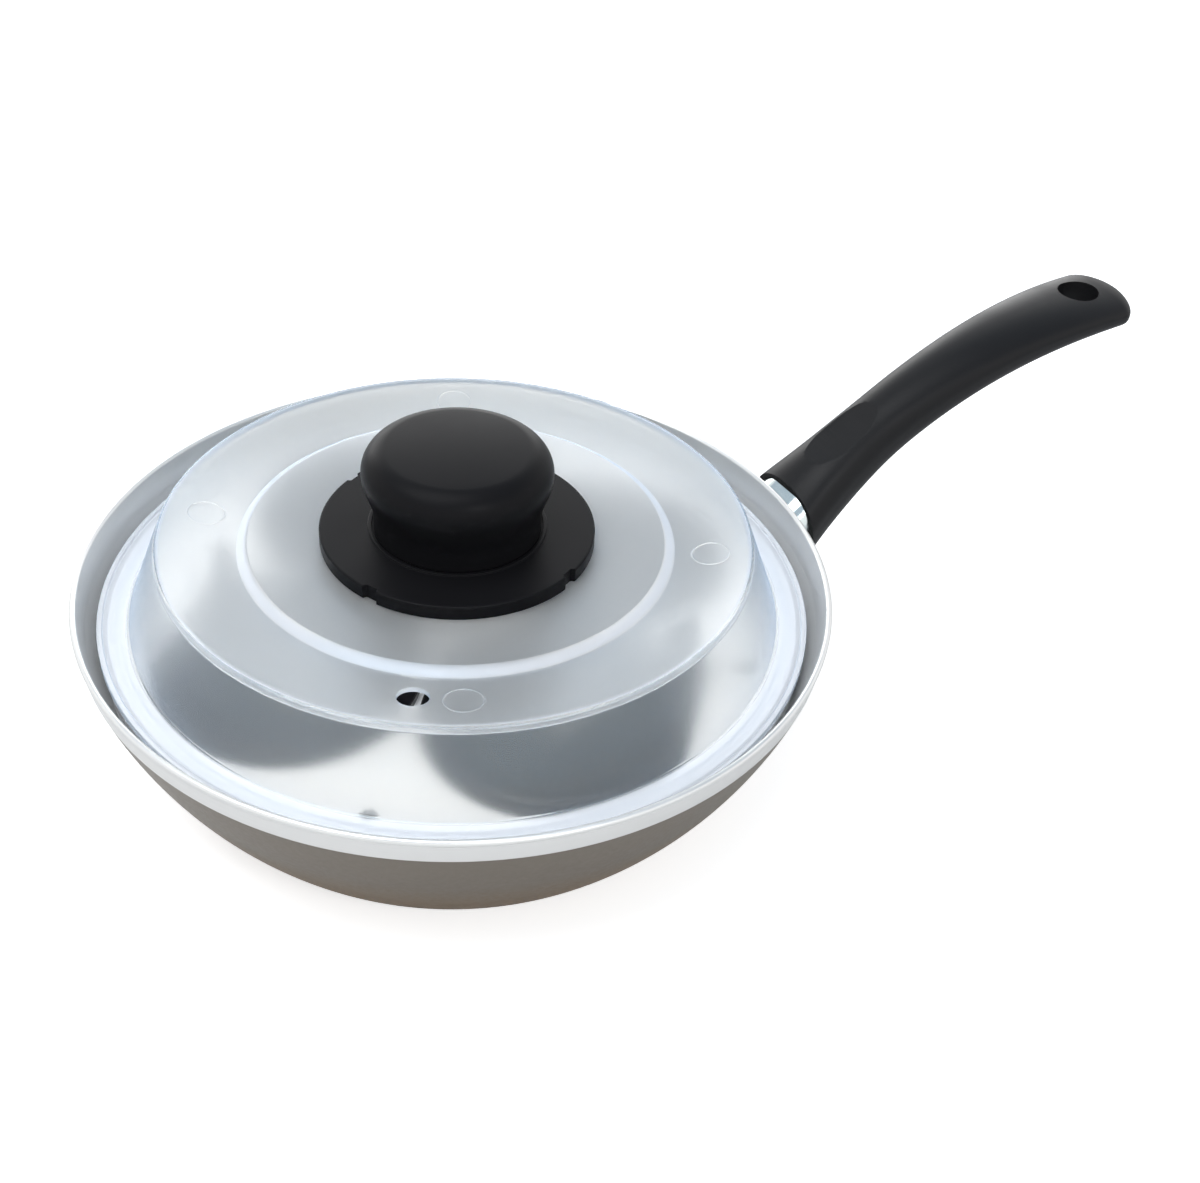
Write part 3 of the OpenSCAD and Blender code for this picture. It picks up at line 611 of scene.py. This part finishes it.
def makeTray():
    # A turned plate with a sloped ledge inside its rim, then round holes for cups, steam and post
    slope = math.atan((ledgeZ - plateZ) / tray["slopeW"])
    under = tray["plate"] * math.tan(slope / 2)
    r = tray["round"]
    ledgeInR, footInR = ledgeR - tray["ledgeW"], trayR - tray["footW"]
    underZ = ledgeZ - tray["plate"]
    below = [(0, seatZ, 0), (plateR + under, seatZ, r), (ledgeInR + under, underZ, r), (footInR, underZ, r)]
    rim = [(footInR, seatZ, r), (trayR, seatZ, r), (trayTopR, trayTopZ, 0.7), (landR, trayTopZ, 0.5)]
    above = [(ledgeR, ledgeZ, r), (ledgeInR, ledgeZ, r), (plateR, plateZ, r), (0, plateZ, 0)]
    body = lathe("trayPlate", spaced(rounded(below + rim + above), 8), 288, [trayWhite], sharp=30)
    cutters = []
    for k in range(4):
        x, y = polar(cupR, cup["angle"] + 90 * k)
        cutters.append(cylinderAt(x, y, bowlR + cup["wall"] + cup["holeGap"], seatZ - 1, plateZ + 1))
        x, y = polar(tray["steamR"], cup["angle"] + 45 + 90 * k)
        cutters.append(cylinderAt(x, y, tray["steamD"] / 2, seatZ - 1, plateZ + 1, 48))
    cutters.append(cylinderAt(0, 0, tray["stemD"] / 2, seatZ - 1, plateZ + 1, 64))
    cutBy(body, cutters)
    finishMesh(body, 30)
    return body


trayPlate = makeTray()
weighted(trayPlate)
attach(trayPlate, "tray_unit")
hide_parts("tray")

post = {
    "h": 17.6, "gap": 0.45, "footW": 1.5, "footH": 1.8, "bodyH": 9.0, "nubD": 4.2, "nubH": 5.0, "stemD": 8.0,
    "snap": 0.8, "snapL": 2.5, "snapGap": 0.1,
}


def makePost():
    # A stem that snaps in from above, a foot, a tapered body and a round-ended nub
    z, footR = plateZ, cornerClear - post["gap"]
    r = footR - post["footW"]
    top, footTop = z + post["h"], z + post["footH"]
    nub, stem = post["nubD"] / 2, post["stemD"] / 2
    snapIn, snapOut = stem - post["snap"], stem + post["snap"]
    snapLow, snapTop = seatZ - post["snapL"], seatZ - post["snapGap"]
    snap = [(0, snapLow, 0), (snapIn, snapLow, 0.3), (snapOut, snapTop - 0.6, 0.2), (snapOut, snapTop, 0.1)]
    foot = [(stem, snapTop, 0), (stem, z, 0), (footR, z, 0), (footR, z + 1, 0.3), (footR - 0.8, footTop, 0.3)]
    body = [(r + 1, footTop, 0.3), (r, footTop + 1.4, 0.8), (r - 0.3, z + post["bodyH"], 2.0),
            (nub, top - post["nubH"], 0.8), (nub, top - nub, 0.3)]
    dome = arcPoints((0, top - nub), nub, 4, 90, 10)
    dome[-1, 0] = 0
    return lathe("liftKnob", np.vstack([rounded(snap + foot + body), dome]), 96, [postMilk], sharp=35)


liftKnob = makePost()
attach(liftKnob, "tray_unit")
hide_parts("lift_post")
print("tray")


# Cups

def outlineAt(angles, less):
    # Distance from the bowl's axis to the flange edge: a circle, its two tangents and the rounded corner
    a = np.abs((angles + 180) % 360 - 180)
    r0, r1 = flangeR - less, cup["tipRound"] - less
    rad = np.radians(a)
    line = r0 / np.cos(np.radians(np.abs(a - cornerSpread)))
    # where the tangent meets the corner's own arc
    end = math.degrees(math.atan2(r1 * math.sin(math.radians(cornerSpread)),
                                  cornerX + r1 * math.cos(math.radians(cornerSpread))))
    arc = cornerX * np.cos(rad) + np.sqrt(np.maximum(r1 ** 2 - (cornerX * np.sin(rad)) ** 2, 0))
    return np.where(a > cornerSpread, r0, np.where(a > end, line, arc))


def makeCup(k):
    # Rings from the bowl's middle up over the flange and down again underneath: x = r cos a and
    # y = r sin a, where r is a number or the flange's outline less a margin
    n, w, edgeRound = cup["segments"], cup["wall"], cup["edgeRound"]
    even = 360 * np.linspace(0, 1, n, endpoint=False) - 180
    ang = even - np.degrees(0.4 * np.sin(np.radians(even)))  # closer together at the corner
    rings = []

    def ring(radius, z):
        rings.append((np.broadcast_to(radius, ang.shape), z))

    def edge(less):
        return outlineAt(ang, less)

    dishH = cup["deep"] - cup["turn"]
    dishR = (cup["turnR"] ** 2 + dishH ** 2) / (2 * dishH)
    dishC = (0.0, ringZ - cup["turn"] - dishH + dishR)
    startA = math.degrees(math.atan2(dishH - dishR, cup["turnR"]))
    spotA = -math.degrees(math.acos(cup["spotR"] / dishR))
    innerDish = arcPoints(dishC, dishR, startA, spotA, 10)
    outerDish = arcPoints(dishC, dishR + w, startA + 1.5, spotA, 10)
    # the raised spot in the middle, then the dish
    spotR, dishZ = cup["spotR"], innerDish[-1, 1]
    spotZ = dishZ + cup["spotDeep"]
    for r, z in ((3.0, spotZ), (spotR - 0.7, spotZ), (spotR - 0.2, spotZ - 0.12), (spotR, dishZ)):
        ring(r, z)
    for r, z in innerDish[::-1][1:]:
        ring(r, z)
    # the bulging wall and the raised ring round the mouth
    wallTop = np.array([bowlR - 0.25, ringZ - 0.9])
    wallFoot = innerDish[0] + [0.12, 0.25]
    for t in np.linspace(0, 1, 9):
        r, z = wallFoot + (wallTop - wallFoot) * t
        ring(r + cup["wallBulge"] * math.sin(math.pi * t), z)
    for a in np.radians(np.linspace(180, 20, 9)):
        ring(bowlR + cup["ringW"] / 2 * (1 + math.cos(a)), flangeZ + cup["ringH"] * math.sin(a) ** 0.8)
    # the flange, its rounded edge, its skirt and its underside
    ring(bowlR + cup["ringW"] + 0.3, flangeZ)
    ring(edge(cup["edgeFlat"]), flangeZ)
    for a in np.radians(np.linspace(90, 0, 5)):
        ring(edge(edgeRound * (1 - math.cos(a))), flangeZ - edgeRound * (1 - math.sin(a)))
    skirt = ((0, plateZ + 0.25), (0.2, plateZ), (w - 0.2, plateZ), (w, plateZ + 0.2), (w, flangeZ - w))
    for less, z in skirt:
        ring(edge(less), z)
    # the outside of the wall and of the dish
    ring(bowlR + w + 0.6, flangeZ - w)
    outerTop = np.array([bowlR + w - 0.1, flangeZ - w - 0.5])
    outerFoot = outerDish[0] + [0.1, 0.3]
    for t in np.linspace(1, 0, 8):
        ring(*(outerFoot + (outerTop - outerFoot) * t))
    for r, z in outerDish:
        ring(r, z)
    ring(3.0, outerDish[-1, 1] - 0.2)
    rad = np.radians(ang)
    pts = np.stack([np.stack([r * np.cos(rad), r * np.sin(rad), np.full(n, z)], 1) for r, z in rings])
    return sweep(f"eggCup{k + 1}", pts, [cupBlack], sharp=32)


def makeTab(k):
    # A fin whose section shrinks towards its top: superellipse rings up its height
    tabEnd = tipLen - cup["tabInset"]
    tabStart = tabEnd - cup["tabL"]
    foot, top = flangeZ - 0.4, flangeZ + cup["tabH"]
    a = np.linspace(0, 2 * math.pi, cup["tabSides"], endpoint=False)
    rings = []
    capFrom = 0.8  # the share of the height at which the top starts to close
    capLevels = capFrom + (1 - capFrom) * np.sin(np.linspace(0.15, math.pi / 2, 10))
    for s in np.concatenate([[0, 0.02, 0.06], np.linspace(0.12, capFrom, 9), capLevels]):
        z = foot + (top - foot) * s
        lean = (z - foot) * cup["tabLean"]
        flare = cup["tabFlare"] * max(0.0, 1 - s / 0.1) ** 2
        capped = math.sqrt(max(0.0, 1 - max(0.0, (s - capFrom) / (1 - capFrom)) ** 2))
        inset = cup["tabRound"] * (1 - capped)
        x0, x1 = tabStart + lean + inset - flare, tabEnd - inset + flare * 0.3
        half = (cup["tabT"] - lean) / 2 * (0.35 + 0.65 * capped) + flare
        mid, length = (x0 + x1) / 2, (x1 - x0) / 2
        rings.append(np.stack([mid + length * superBend(np.cos(a), 4.5), half * superBend(np.sin(a), 3.2),
                               np.full(len(a), z)], 1))
    return sweep(f"cupTab{k + 1}", np.array(rings), [cupBlack], sharp=50)


for k in range(4):
    bowl = makeCup(k)
    tab = makeTab(k)
    x, y = polar(cupR, cup["angle"] + 90 * k)
    turn = Matrix.Rotation(math.radians(cup["angle"] + 90 * k + cupTurn[k]), 4, "Z")
    for piece in (bowl, tab):
        placed(piece, Matrix.Translation((x, y, 0)) @ turn)
        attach(piece, f"egg_cup_{k + 1}")
    weighted(bowl)
    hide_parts(f"cup_{k + 1}")
print("cups")


# Lid

lid = {
    "thick": 1.5, "gap": 2.7, "flangeW": 8.2, "beadH": 0.6, "beadW": 1.3, "rise": 14.4, "skirtDraft": 8.6,
    "bandW": 21.0, "bandFall": 3.1, "stepW": 2.9, "stepH": 1.9, "discFall": 1.2,
    "ventD": 8.0, "ventIn": 1.7, "ventAngle": -126.5, "ribH": 2.5, "ribT": 1.5, "ribGap": 1.1,
    "markD": 10.0, "markOut": 0.8, "markAngles": (-116.3, -35.0, 63.5, 145.0), "screwHole": 2.3,
    "segments": 480, "bandRows": 18, "patchHalf": 7,
}
lidZ = trayTopZ
lidR = wallAt(lidZ + lid["thick"], pan["wall"]) - lid["gap"]
skirtFootR = lidR - lid["flangeW"]
lidTopZ = pan["height"] + lid["rise"]
skirtTopR = skirtFootR - lid["skirtDraft"]
bandInR = skirtTopR - lid["bandW"]
stepInR = bandInR - lid["stepW"]
bandInZ = lidTopZ - lid["bandFall"]
stepZ = bandInZ + lid["stepH"]
discZ = stepZ - lid["discFall"]
knobSkirt = {
    "d": 73.6, "h": 4.0, "t": 2.2, "collarH": 0.5, "collarW": 1.1, "collarGap": 0.4, "notchW": 4.0,
    "notchDeep": 1.2, "notchAngle": 25.0, "notchSide": 0.35, "round": 0.5, "bossR": 8.0, "segments": 720,
}
discSeatR = knobSkirt["d"] / 2 + 1
ribR = ledgeR - lid["ribGap"]
# the rings given here are painted highlight on the flange, the top's edge and the step
lidClear = makeLid("cloudySkirt", 0.08, 0.26, [(lidR - 3.5, 3.7)], 0.5)
lidFrost = makeLid("cloudyTop", 0.12, 0.32, [(skirtTopR - 0.6, 0.3), ((bandInR + stepInR) / 2, 0.8)], 0.45)


def bandHeight(r, under=0.0):
    # The band round the top is a shallow cone
    return bandInZ + (r - bandInR) / lid["bandW"] * lid["bandFall"] - under


def patchRing(centre, radius, bearing, height):
    # Points on a circle drawn on the band's cone, at the bearings of the block's edge
    x, y = centre[0] + radius * np.cos(bearing), centre[1] + radius * np.sin(bearing)
    r = np.hypot(x, y)
    return np.stack([x, y, bandHeight(r) + height], 1)


def lidLines(bandR):
    # The shell's (r, z) line in four parts: middle, edge with its rib, and the band above and below
    t, hole = lid["thick"], lid["screwHole"]
    ribInR, ribZ = ribR - lid["ribT"], lidZ - lid["ribH"]
    beadInR, beadZ = lidR - lid["beadW"], lidZ + t + lid["beadH"]
    near, far = bandR[0], bandR[-1]
    inner = rounded([(hole, discZ, 0), (discSeatR, discZ, 3.0), (stepInR, stepZ, 0.55),
                     (bandInR, bandInZ, 0.5), (near + 0.4, bandHeight(near + 0.4), 0)])[:-1]
    outer = rounded([(far, bandHeight(far), 0), (skirtTopR, lidTopZ, 0.75), (skirtFootR, lidZ + t, 0.8),
                     (beadInR - 0.3, lidZ + t, 0.2), (beadInR, beadZ, 0.25), (lidR, beadZ, 0.4),
                     (lidR, lidZ, 0.3), (ribR, lidZ, 0.1), (ribR, ribZ, 0.3), (ribInR, ribZ, 0.3),
                     (ribInR, lidZ, 0.1), (skirtFootR - t * 0.75, lidZ, 0.4),
                     (skirtTopR - t * 0.85, lidTopZ - t, 0.4), (far, bandHeight(far, t * 1.01), 0)])[1:-1]
    innerUnder = rounded([(near, bandHeight(near, t), 0), (bandInR + 0.6, bandHeight(bandInR + 0.6, t), 0.3),
                          (stepInR + 0.6, stepZ - t, 0.4), (discSeatR, discZ - t, 3.0),
                          (hole, discZ - t, 0)])[1:]
    top = np.stack([bandR, bandHeight(bandR)], 1)
    under = np.stack([bandR, bandHeight(bandR, t)], 1)[::-1]
    return spaced(inner, 2.5), top, spaced(outer, 3.0), under, spaced(innerUnder, 2.5)


def makeLidShell():
    # A lathed shell. Blocks of cells are taken out of its band, for the vent and for the round
    # marks, and filled with rings that pass from the block's edge to a circle.
    t, n, rows, half = lid["thick"], lid["segments"], lid["bandRows"], lid["patchHalf"]
    bandR = np.linspace(bandInR + 0.35, skirtTopR - 1.3, rows + 1)
    inner, top, outer, under, innerUnder = lidLines(bandR)
    line = np.vstack([inner, top, outer, under, innerUnder])
    topAt = len(inner)
    underAt = topAt + len(top) + len(outer)
    verts, faces, rowOf = latheParts(np.vstack([line, line[:1]]), n)
    count = len(line) * n
    verts = list(verts[:count])
    faces = np.array(faces) % count
    colOf = np.tile(np.arange(n), len(line))
    keep = np.ones(len(faces), bool)
    extra = []
    frosted = (line[:, 0] < skirtTopR - 0.9) & (line[:, 1] > bandInZ - t - 1)

    def block(angle, firstRow, under):
        # Take out a block of cells and return its edge, in order, as vertex numbers
        inset = (rows - 2 * half) // 2
        cols = (int(round(angle * n / 360)) % n + np.arange(-half, half + 1)) % n
        r = firstRow + (rows - inset - 2 * half if under else inset) + np.arange(2 * half + 1)
        keep[np.isin(rowOf, r[:-1]) & np.isin(colOf, cols[:-1])] = False
        edge = [(r[0], c) for c in cols[:-1]] + [(q, cols[-1]) for q in r[:-1]]
        edge += [(r[-1], c) for c in cols[:0:-1]] + [(q, cols[0]) for q in r[:0:-1]]
        return np.array([q * n + c for q, c in edge])

    def bearings(edge, centre):
        e = np.array([verts[i] for i in edge])
        return np.arctan2(e[:, 1] - centre[1], e[:, 0] - centre[0])

    def addRing(points):
        start = len(verts)
        verts.extend(points)
        return start + np.arange(len(points))

    def join(a, b):
        extra.extend(np.stack([a, b, np.roll(b, -1), np.roll(a, -1)], 1))

    def ringsFrom(edge, centre, bearing, profile):
        # Rings of (radius, height) round the centre, joined from the edge inwards. Returns the last.
        last = edge
        for radius, height in profile:
            ring = addRing(patchRing(centre, radius, bearing, height))
            join(last, ring)
            last = ring
        return last

    ventR = (skirtTopR + bandInR) / 2 - lid["ventIn"]
    hole = lid["ventD"] / 2
    centre = polar(ventR, lid["ventAngle"])
    rims = []
    for firstRow, isUnder, height, drop in ((topAt, False, 0.0, -0.12), (underAt, True, -t, 0.12)):
        edge = block(lid["ventAngle"], firstRow, isUnder)
        bearing = bearings(edge, centre)
        profile = [(hole + 0.9, height), (hole + 0.28, height), (hole + 0.08, height + drop * 0.4),
                   (hole, height + drop * 1.6)]
        rims.append((ringsFrom(edge, centre, bearing, profile), bearing))
    # the vent's wall joins the two rims, matched by bearing
    (upper, upperTurn), (lower, lowerTurn) = rims
    shift = np.argmin(np.abs(np.angle(np.exp(1j * (lowerTurn - upperTurn[0])))))
    order = np.roll(lower, -shift)
    off = np.abs(np.angle(np.exp(1j * (np.roll(lowerTurn, -shift) - upperTurn[1]))))
    if off[1] > off[-1]:
        order = np.roll(order[::-1], 1)
    join(upper, order)

    markR, mark = ventR + lid["markOut"], lid["markD"] / 2
    profile = [(mark + 0.5, 0), (mark + 0.22, 0.02), (mark + 0.05, 0.16), (mark - 0.12, 0.16),
               (mark - 0.3, 0.0), (mark - 0.8, -0.05), (mark * 0.5, -0.05)]
    for angle in lid["markAngles"]:
        edge = block(angle, topAt, False)
        centre = polar(markR, angle)
        last = ringsFrom(edge, centre, bearings(edge, centre), profile)
        middle = len(verts)
        verts.append(np.array([*centre, bandHeight(markR) - 0.05]))
        extra.extend([np.array([a, b, middle]) for a, b in zip(last, np.roll(last, -1))])
    slots = list(np.where(frosted[rowOf[keep]], 1, 0)) + [1] * len(extra)
    faces = list(faces[keep]) + extra
    return buildMesh("lidShell", np.array(verts), faces, [lidClear, lidFrost], slots, 32)


lidShell = makeLidShell()
weighted(lidShell)
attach(lidShell, "lid")
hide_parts("lid_shell")
print("lid")


# Knob

knob = {
    "neckD": 44.8, "neckH": 4.8, "flareH": 12.0, "d": 50.6, "round": 7.0, "crown": 4.0, "insertD": 8.0,
    "insertL": 11.0,
}
skirtTopZ = discZ + knobSkirt["h"]
neckR = knob["neckD"] / 2


def makeKnobSkirt():
    # A closed line of (r, z) turned round the axis, with r held back where a notch dips into the edge
    s = knobSkirt
    edgeR, low, high = s["d"] / 2, discZ, skirtTopZ
    n, hole = s["segments"], lid["screwHole"]
    inR, inZ = edgeR - s["t"], high - s["t"]
    collar = neckR + s["collarGap"]
    collarOut, collarTop = collar + s["collarW"], high + s["collarH"]
    line = rounded([(hole, low, 0), (s["bossR"], low, 0.3), (s["bossR"], inZ, 0.5), (inR, inZ, 0.5),
                    (inR, low, 0.2), (edgeR, low, 0.3), (edgeR, high, s["round"]), (collarOut, high, 0.15),
                    (collarOut, collarTop, 0.2), (collar, collarTop, 0.2), (collar, high, 0.1),
                    (hole, high, 0)])
    a = np.arange(n) * (2 * math.pi / n)
    # distance round the edge to the nearest notch, and a flat-bottomed dip there
    off = (np.degrees(a) - s["notchAngle"] + 45) % 90 - 45
    arc = np.abs(np.radians(off)) * edgeR
    dip = np.clip((s["notchW"] / 2 - arc) / s["notchSide"] + 0.5, 0, 1)
    r = np.repeat(line[:, 0][:, None], n, 1)
    dipR = edgeR - s["notchDeep"]
    outerEdge = np.clip((r - (dipR - 0.35)) / 0.3, 0, 1)
    r = r - np.maximum(r - dipR, 0) * dip * outerEdge
    z = np.repeat(line[:, 1][:, None], n, 1)
    pts = np.stack([r * np.cos(a), r * np.sin(a), z], -1)
    i, j = np.meshgrid(np.arange(len(line)), np.arange(n), indexing="ij")
    i2, j2 = (i + 1) % len(line), (j + 1) % n
    quads = np.stack([i * n + j, i2 * n + j, i2 * n + j2, i * n + j2], -1).reshape(-1, 4)
    return buildMesh("knobDisc", pts.reshape(-1, 3), quads, [knobBlack], None, 32)


knobDisc = makeKnobSkirt()
weighted(knobDisc)


def makeKnob():
    # Neck, a flare that eases out to the widest ring, a round shoulder and a slight crown
    flareZ = skirtTopZ + knob["neckH"]
    wideZ = flareZ + knob["flareH"]
    wideR, bend, insertR = knob["d"] / 2, knob["round"], knob["insertD"] / 2
    t = np.linspace(0, 1, 30)[:-1]
    flare = np.stack([neckR + (wideR - neckR) * eased(t), flareZ + knob["flareH"] * t], 1)
    shoulder = arcPoints((wideR - bend, wideZ), bend, 0, 90 - knob["crown"], 32)
    crownA = math.radians(knob["crown"])
    crownR = shoulder[-1, 0] / math.sin(crownA)
    crownC = (0, shoulder[-1, 1] - crownR * math.cos(crownA))
    crown = arcPoints(crownC, crownR, 90 - knob["crown"], 90, 10)[1:]
    crown[-1, 0] = 0
    foot = skirtTopZ
    neck = [[insertR, foot], [neckR - 0.3, foot], [neckR, foot + 0.3], [neckR, foot + 2.5]]
    bore = [[0, foot + knob["insertL"]], [insertR, foot + knob["insertL"]]]
    return lathe("knobGrip", np.vstack([bore, neck, flare, shoulder, crown]), 256, [knobBlack], sharp=40)


knobGrip = makeKnob()
for piece, node in ((knobDisc, "knob_skirt"), (knobGrip, "knob")):
    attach(piece, "lid")
    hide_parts(node)
print("knob")


# Handle

handle = {
    "x": pan["rimR"] + 11.0, "z": 36.8, "len": 124.5, "rise": 46.8, "curve": 2.28,
    "waist": 10.0, "grip": 14.4, "flare": 4.7, "flareEnd": 0.29, "bellyStart": 0.19, "bellyLen": 0.78,
    "rootT": 9.8, "tipT": 4.9, "tipBlend": 0.06, "tipLeast": 0.02, "mouthLean": 8.0, "mouthLen": 0.16,
    "topPower": 2.2, "underPower": 2.8, "hangD": 13.0, "hangBack": 16.0, "hangCut": (60, 110),
    "thumbLen": 30.0, "thumbDeep": 1.5, "thumbAt": 24.0, "tongueAngle": 35.0,
    "screwAt": 24.0, "recessR": 4.8, "recessFloor": 4.45, "recessReach": 24.0,
    "socketW": 12.7, "socketH": 8.5, "socketDeep": 5.2, "socketBack": 30.0, "rings": 160, "sides": 112,
}


def lineZ(s):
    # Height of the centre line, from 0 at the pan to 1 at the tip
    return handle["z"] + handle["rise"] * (1 - (1 - s) ** handle["curve"])


def lineSlope(s):
    return np.arctan(handle["rise"] * handle["curve"] * (1 - s) ** (handle["curve"] - 1) / handle["len"])


def halfT(s):
    return handle["rootT"] - (handle["rootT"] - handle["tipT"]) * s


def tongueMatrix(along):
    # Axes of the tongue at a distance along it, with z along the tongue and x across it
    a = math.radians(handle["tongueAngle"])
    place = Matrix.Translation((handle["x"] + along * math.cos(a), 0, handle["z"] + along * math.sin(a)))
    return place @ Matrix.Rotation(math.pi / 2 - a, 4, "Y") @ Matrix.Rotation(-math.pi / 2, 4, "Z")


def stadiumLoop(w, h, n=96):
    # Half circles joined by straight sides, points evenly spread in angle on each
    a = np.linspace(-math.pi / 2, math.pi / 2, n // 2)
    right = np.stack([w - h + h * np.cos(a), h * np.sin(a)], 1)
    return np.vstack([right, -right])


def prism(loop, low, high):
    # A loop carried straight from low to high
    rings = np.stack([np.column_stack([loop, np.full(len(loop), z)]) for z in (low, high)])
    return sweep("cutter", rings, [])


def makeHandle():
    # Rings square to the centre line, but nearly upright at the pan: u across and v up, on
    # superellipses that are flatter below
    h = handle
    s = np.sin(np.linspace(0, math.pi / 2, h["rings"]))[:, None]
    a = np.linspace(0, 2 * math.pi, h["sides"], endpoint=False)[None]
    closing = 1 - ((s - 1 + h["tipBlend"]) / h["tipBlend"]) ** 2
    cut = np.where(s < 1 - h["tipBlend"], 1.0, np.sqrt(np.maximum(h["tipLeast"], closing)))
    wide = h["waist"] + (h["grip"] - h["waist"]) * eased((s - h["bellyStart"]) / h["bellyLen"])
    wide = (wide + h["flare"] * np.maximum(0, 1 - s / h["flareEnd"]) ** 2) * cut
    slope = lineSlope(s)
    lean = math.radians(h["mouthLean"])
    lean = lean + (slope - lean) * eased(s / h["mouthLen"])
    thick = halfT(s) / np.cos(slope - lean) * np.sqrt(cut)
    power = np.where(np.sin(a) < 0, h["underPower"], h["topPower"])
    u, v = wide * superBend(np.cos(a), power), thick * superBend(np.sin(a), power)
    pts = np.stack([h["x"] + h["len"] * s - v * np.sin(lean), u, lineZ(s) + v * np.cos(lean)], -1)
    body = sweep("handleGrip", pts, [phenolic], sharp=40)
    # thumb dish, hanging hole, socket of the ferrule and recess of the screw
    mark = h["thumbAt"] / h["len"]
    slope = float(lineSlope(mark))
    top = Vector((h["x"] + h["thumbAt"] - halfT(mark) * math.sin(slope), 0,
                  lineZ(mark) + halfT(mark) * math.cos(slope)))
    dishR = (h["thumbLen"] / 2) ** 2 / (2 * h["thumbDeep"]) + h["thumbDeep"] / 2
    dish = cylinderAt(0, 0, dishR, -2 * h["grip"], 2 * h["grip"], 720)
    placed(dish, Matrix.Translation(top) @ Matrix.Rotation(-slope, 4, "Y")
           @ Matrix.Translation((0, 0, dishR - h["thumbDeep"])) @ Matrix.Rotation(math.pi / 2, 4, "X"))
    hang = cylinderAt(h["x"] + h["len"] - h["hangBack"], 0, h["hangD"] / 2, *h["hangCut"], 96)
    socket = prism(stadiumLoop(h["socketW"], h["socketH"]), -h["socketBack"], h["socketDeep"])
    placed(socket, tongueMatrix(0))
    recess = cylinderAt(0, 0, h["recessR"], h["recessFloor"], h["recessReach"], 64)
    placed(recess, tongueMatrix(h["screwAt"]) @ Matrix.Rotation(-math.pi / 2, 4, "X"))
    cutBy(body, [dish, hang, socket, recess])
    finishMesh(body, 30)
    return body


handleGrip = makeHandle()
weighted(handleGrip)
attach(handleGrip, "pan")
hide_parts("handle")
print("handle")


# Ferrule

ferrule = {"w": 12.5, "h": 8.3, "t": 1.0, "in": 5.0, "back": 38.0, "segments": 128}


def makeFerrule():
    # A stadium tube along the tongue, cut where it meets the pan's wall
    f = ferrule
    tube = prism(stadiumLoop(f["w"], f["h"], f["segments"]), -f["back"], f["in"])
    bore = prism(stadiumLoop(f["w"] - f["t"], f["h"] - f["t"], f["segments"]), -f["back"] - 2, f["in"] + 2)
    for piece in (tube, bore):
        placed(piece, tongueMatrix(0))
    envelope = np.vstack([[[0, -1], [pan["baseR"], -1]], outerWall(),
                          [[pan["rimR"], pan["height"]], [0, pan["height"]]]])
    cutBy(tube, [bore, lathe("cutter", envelope, pan["segments"], [])])
    tube.name = tube.data.name = "handleCollar"
    tube.data.materials.append(zinc)
    finishMesh(tube, 35)
    return tube


handleCollar = makeFerrule()
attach(handleCollar, "pan")
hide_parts("ferrule")
print("ferrule")


# The small fixings keep their own solids

fixings = {"handle_bracket": castMetal, "handle_washer": steel, "handle_screw": steel, "knob_washer": steel,
           "knob_screw": steel, "knob_insert": brass}
for name, mat in fixings.items():
    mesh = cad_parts[name].data
    mesh.materials.clear()
    mesh.materials.append(mat)
print("fixings")


# Floor

def makeFloor(size):
    # A pale square that keeps shadows, and glows a little for the camera alone
    mesh = bpy.data.meshes.new("floor")
    corners = [(-size, -size, 0), (size, -size, 0), (size, size, 0), (-size, size, 0)]
    mesh.from_pydata(corners, [], [(0, 1, 2, 3)])
    mat = newMaterial("paleFloor", (0.9, 0.9, 0.9), 0.9)
    nt = mat.node_tree
    out = next(n for n in nt.nodes if n.type == "OUTPUT_MATERIAL")
    path = nodeOf(mat, "ShaderNodeLightPath")
    glow = nodeOf(mat, "ShaderNodeEmission", Color=(1, 1, 1, 1), Strength=0.6)
    add = nodeOf(mat, "ShaderNodeAddShader")
    mix = nodeOf(mat, "ShaderNodeMixShader")
    nt.links.new(shaderOf(mat).outputs[0], add.inputs[0])
    nt.links.new(glow.outputs[0], add.inputs[1])
    nt.links.new(path.outputs["Is Camera Ray"], mix.inputs[0])
    nt.links.new(shaderOf(mat).outputs[0], mix.inputs[1])
    nt.links.new(add.outputs[0], mix.inputs[2])
    nt.links.new(mix.outputs[0], out.inputs["Surface"])
    mesh.materials.append(mat)
    floor = bpy.data.objects.new("floor", mesh)
    scene.collection.objects.link(floor)


makeFloor(3.0)
print("floor")
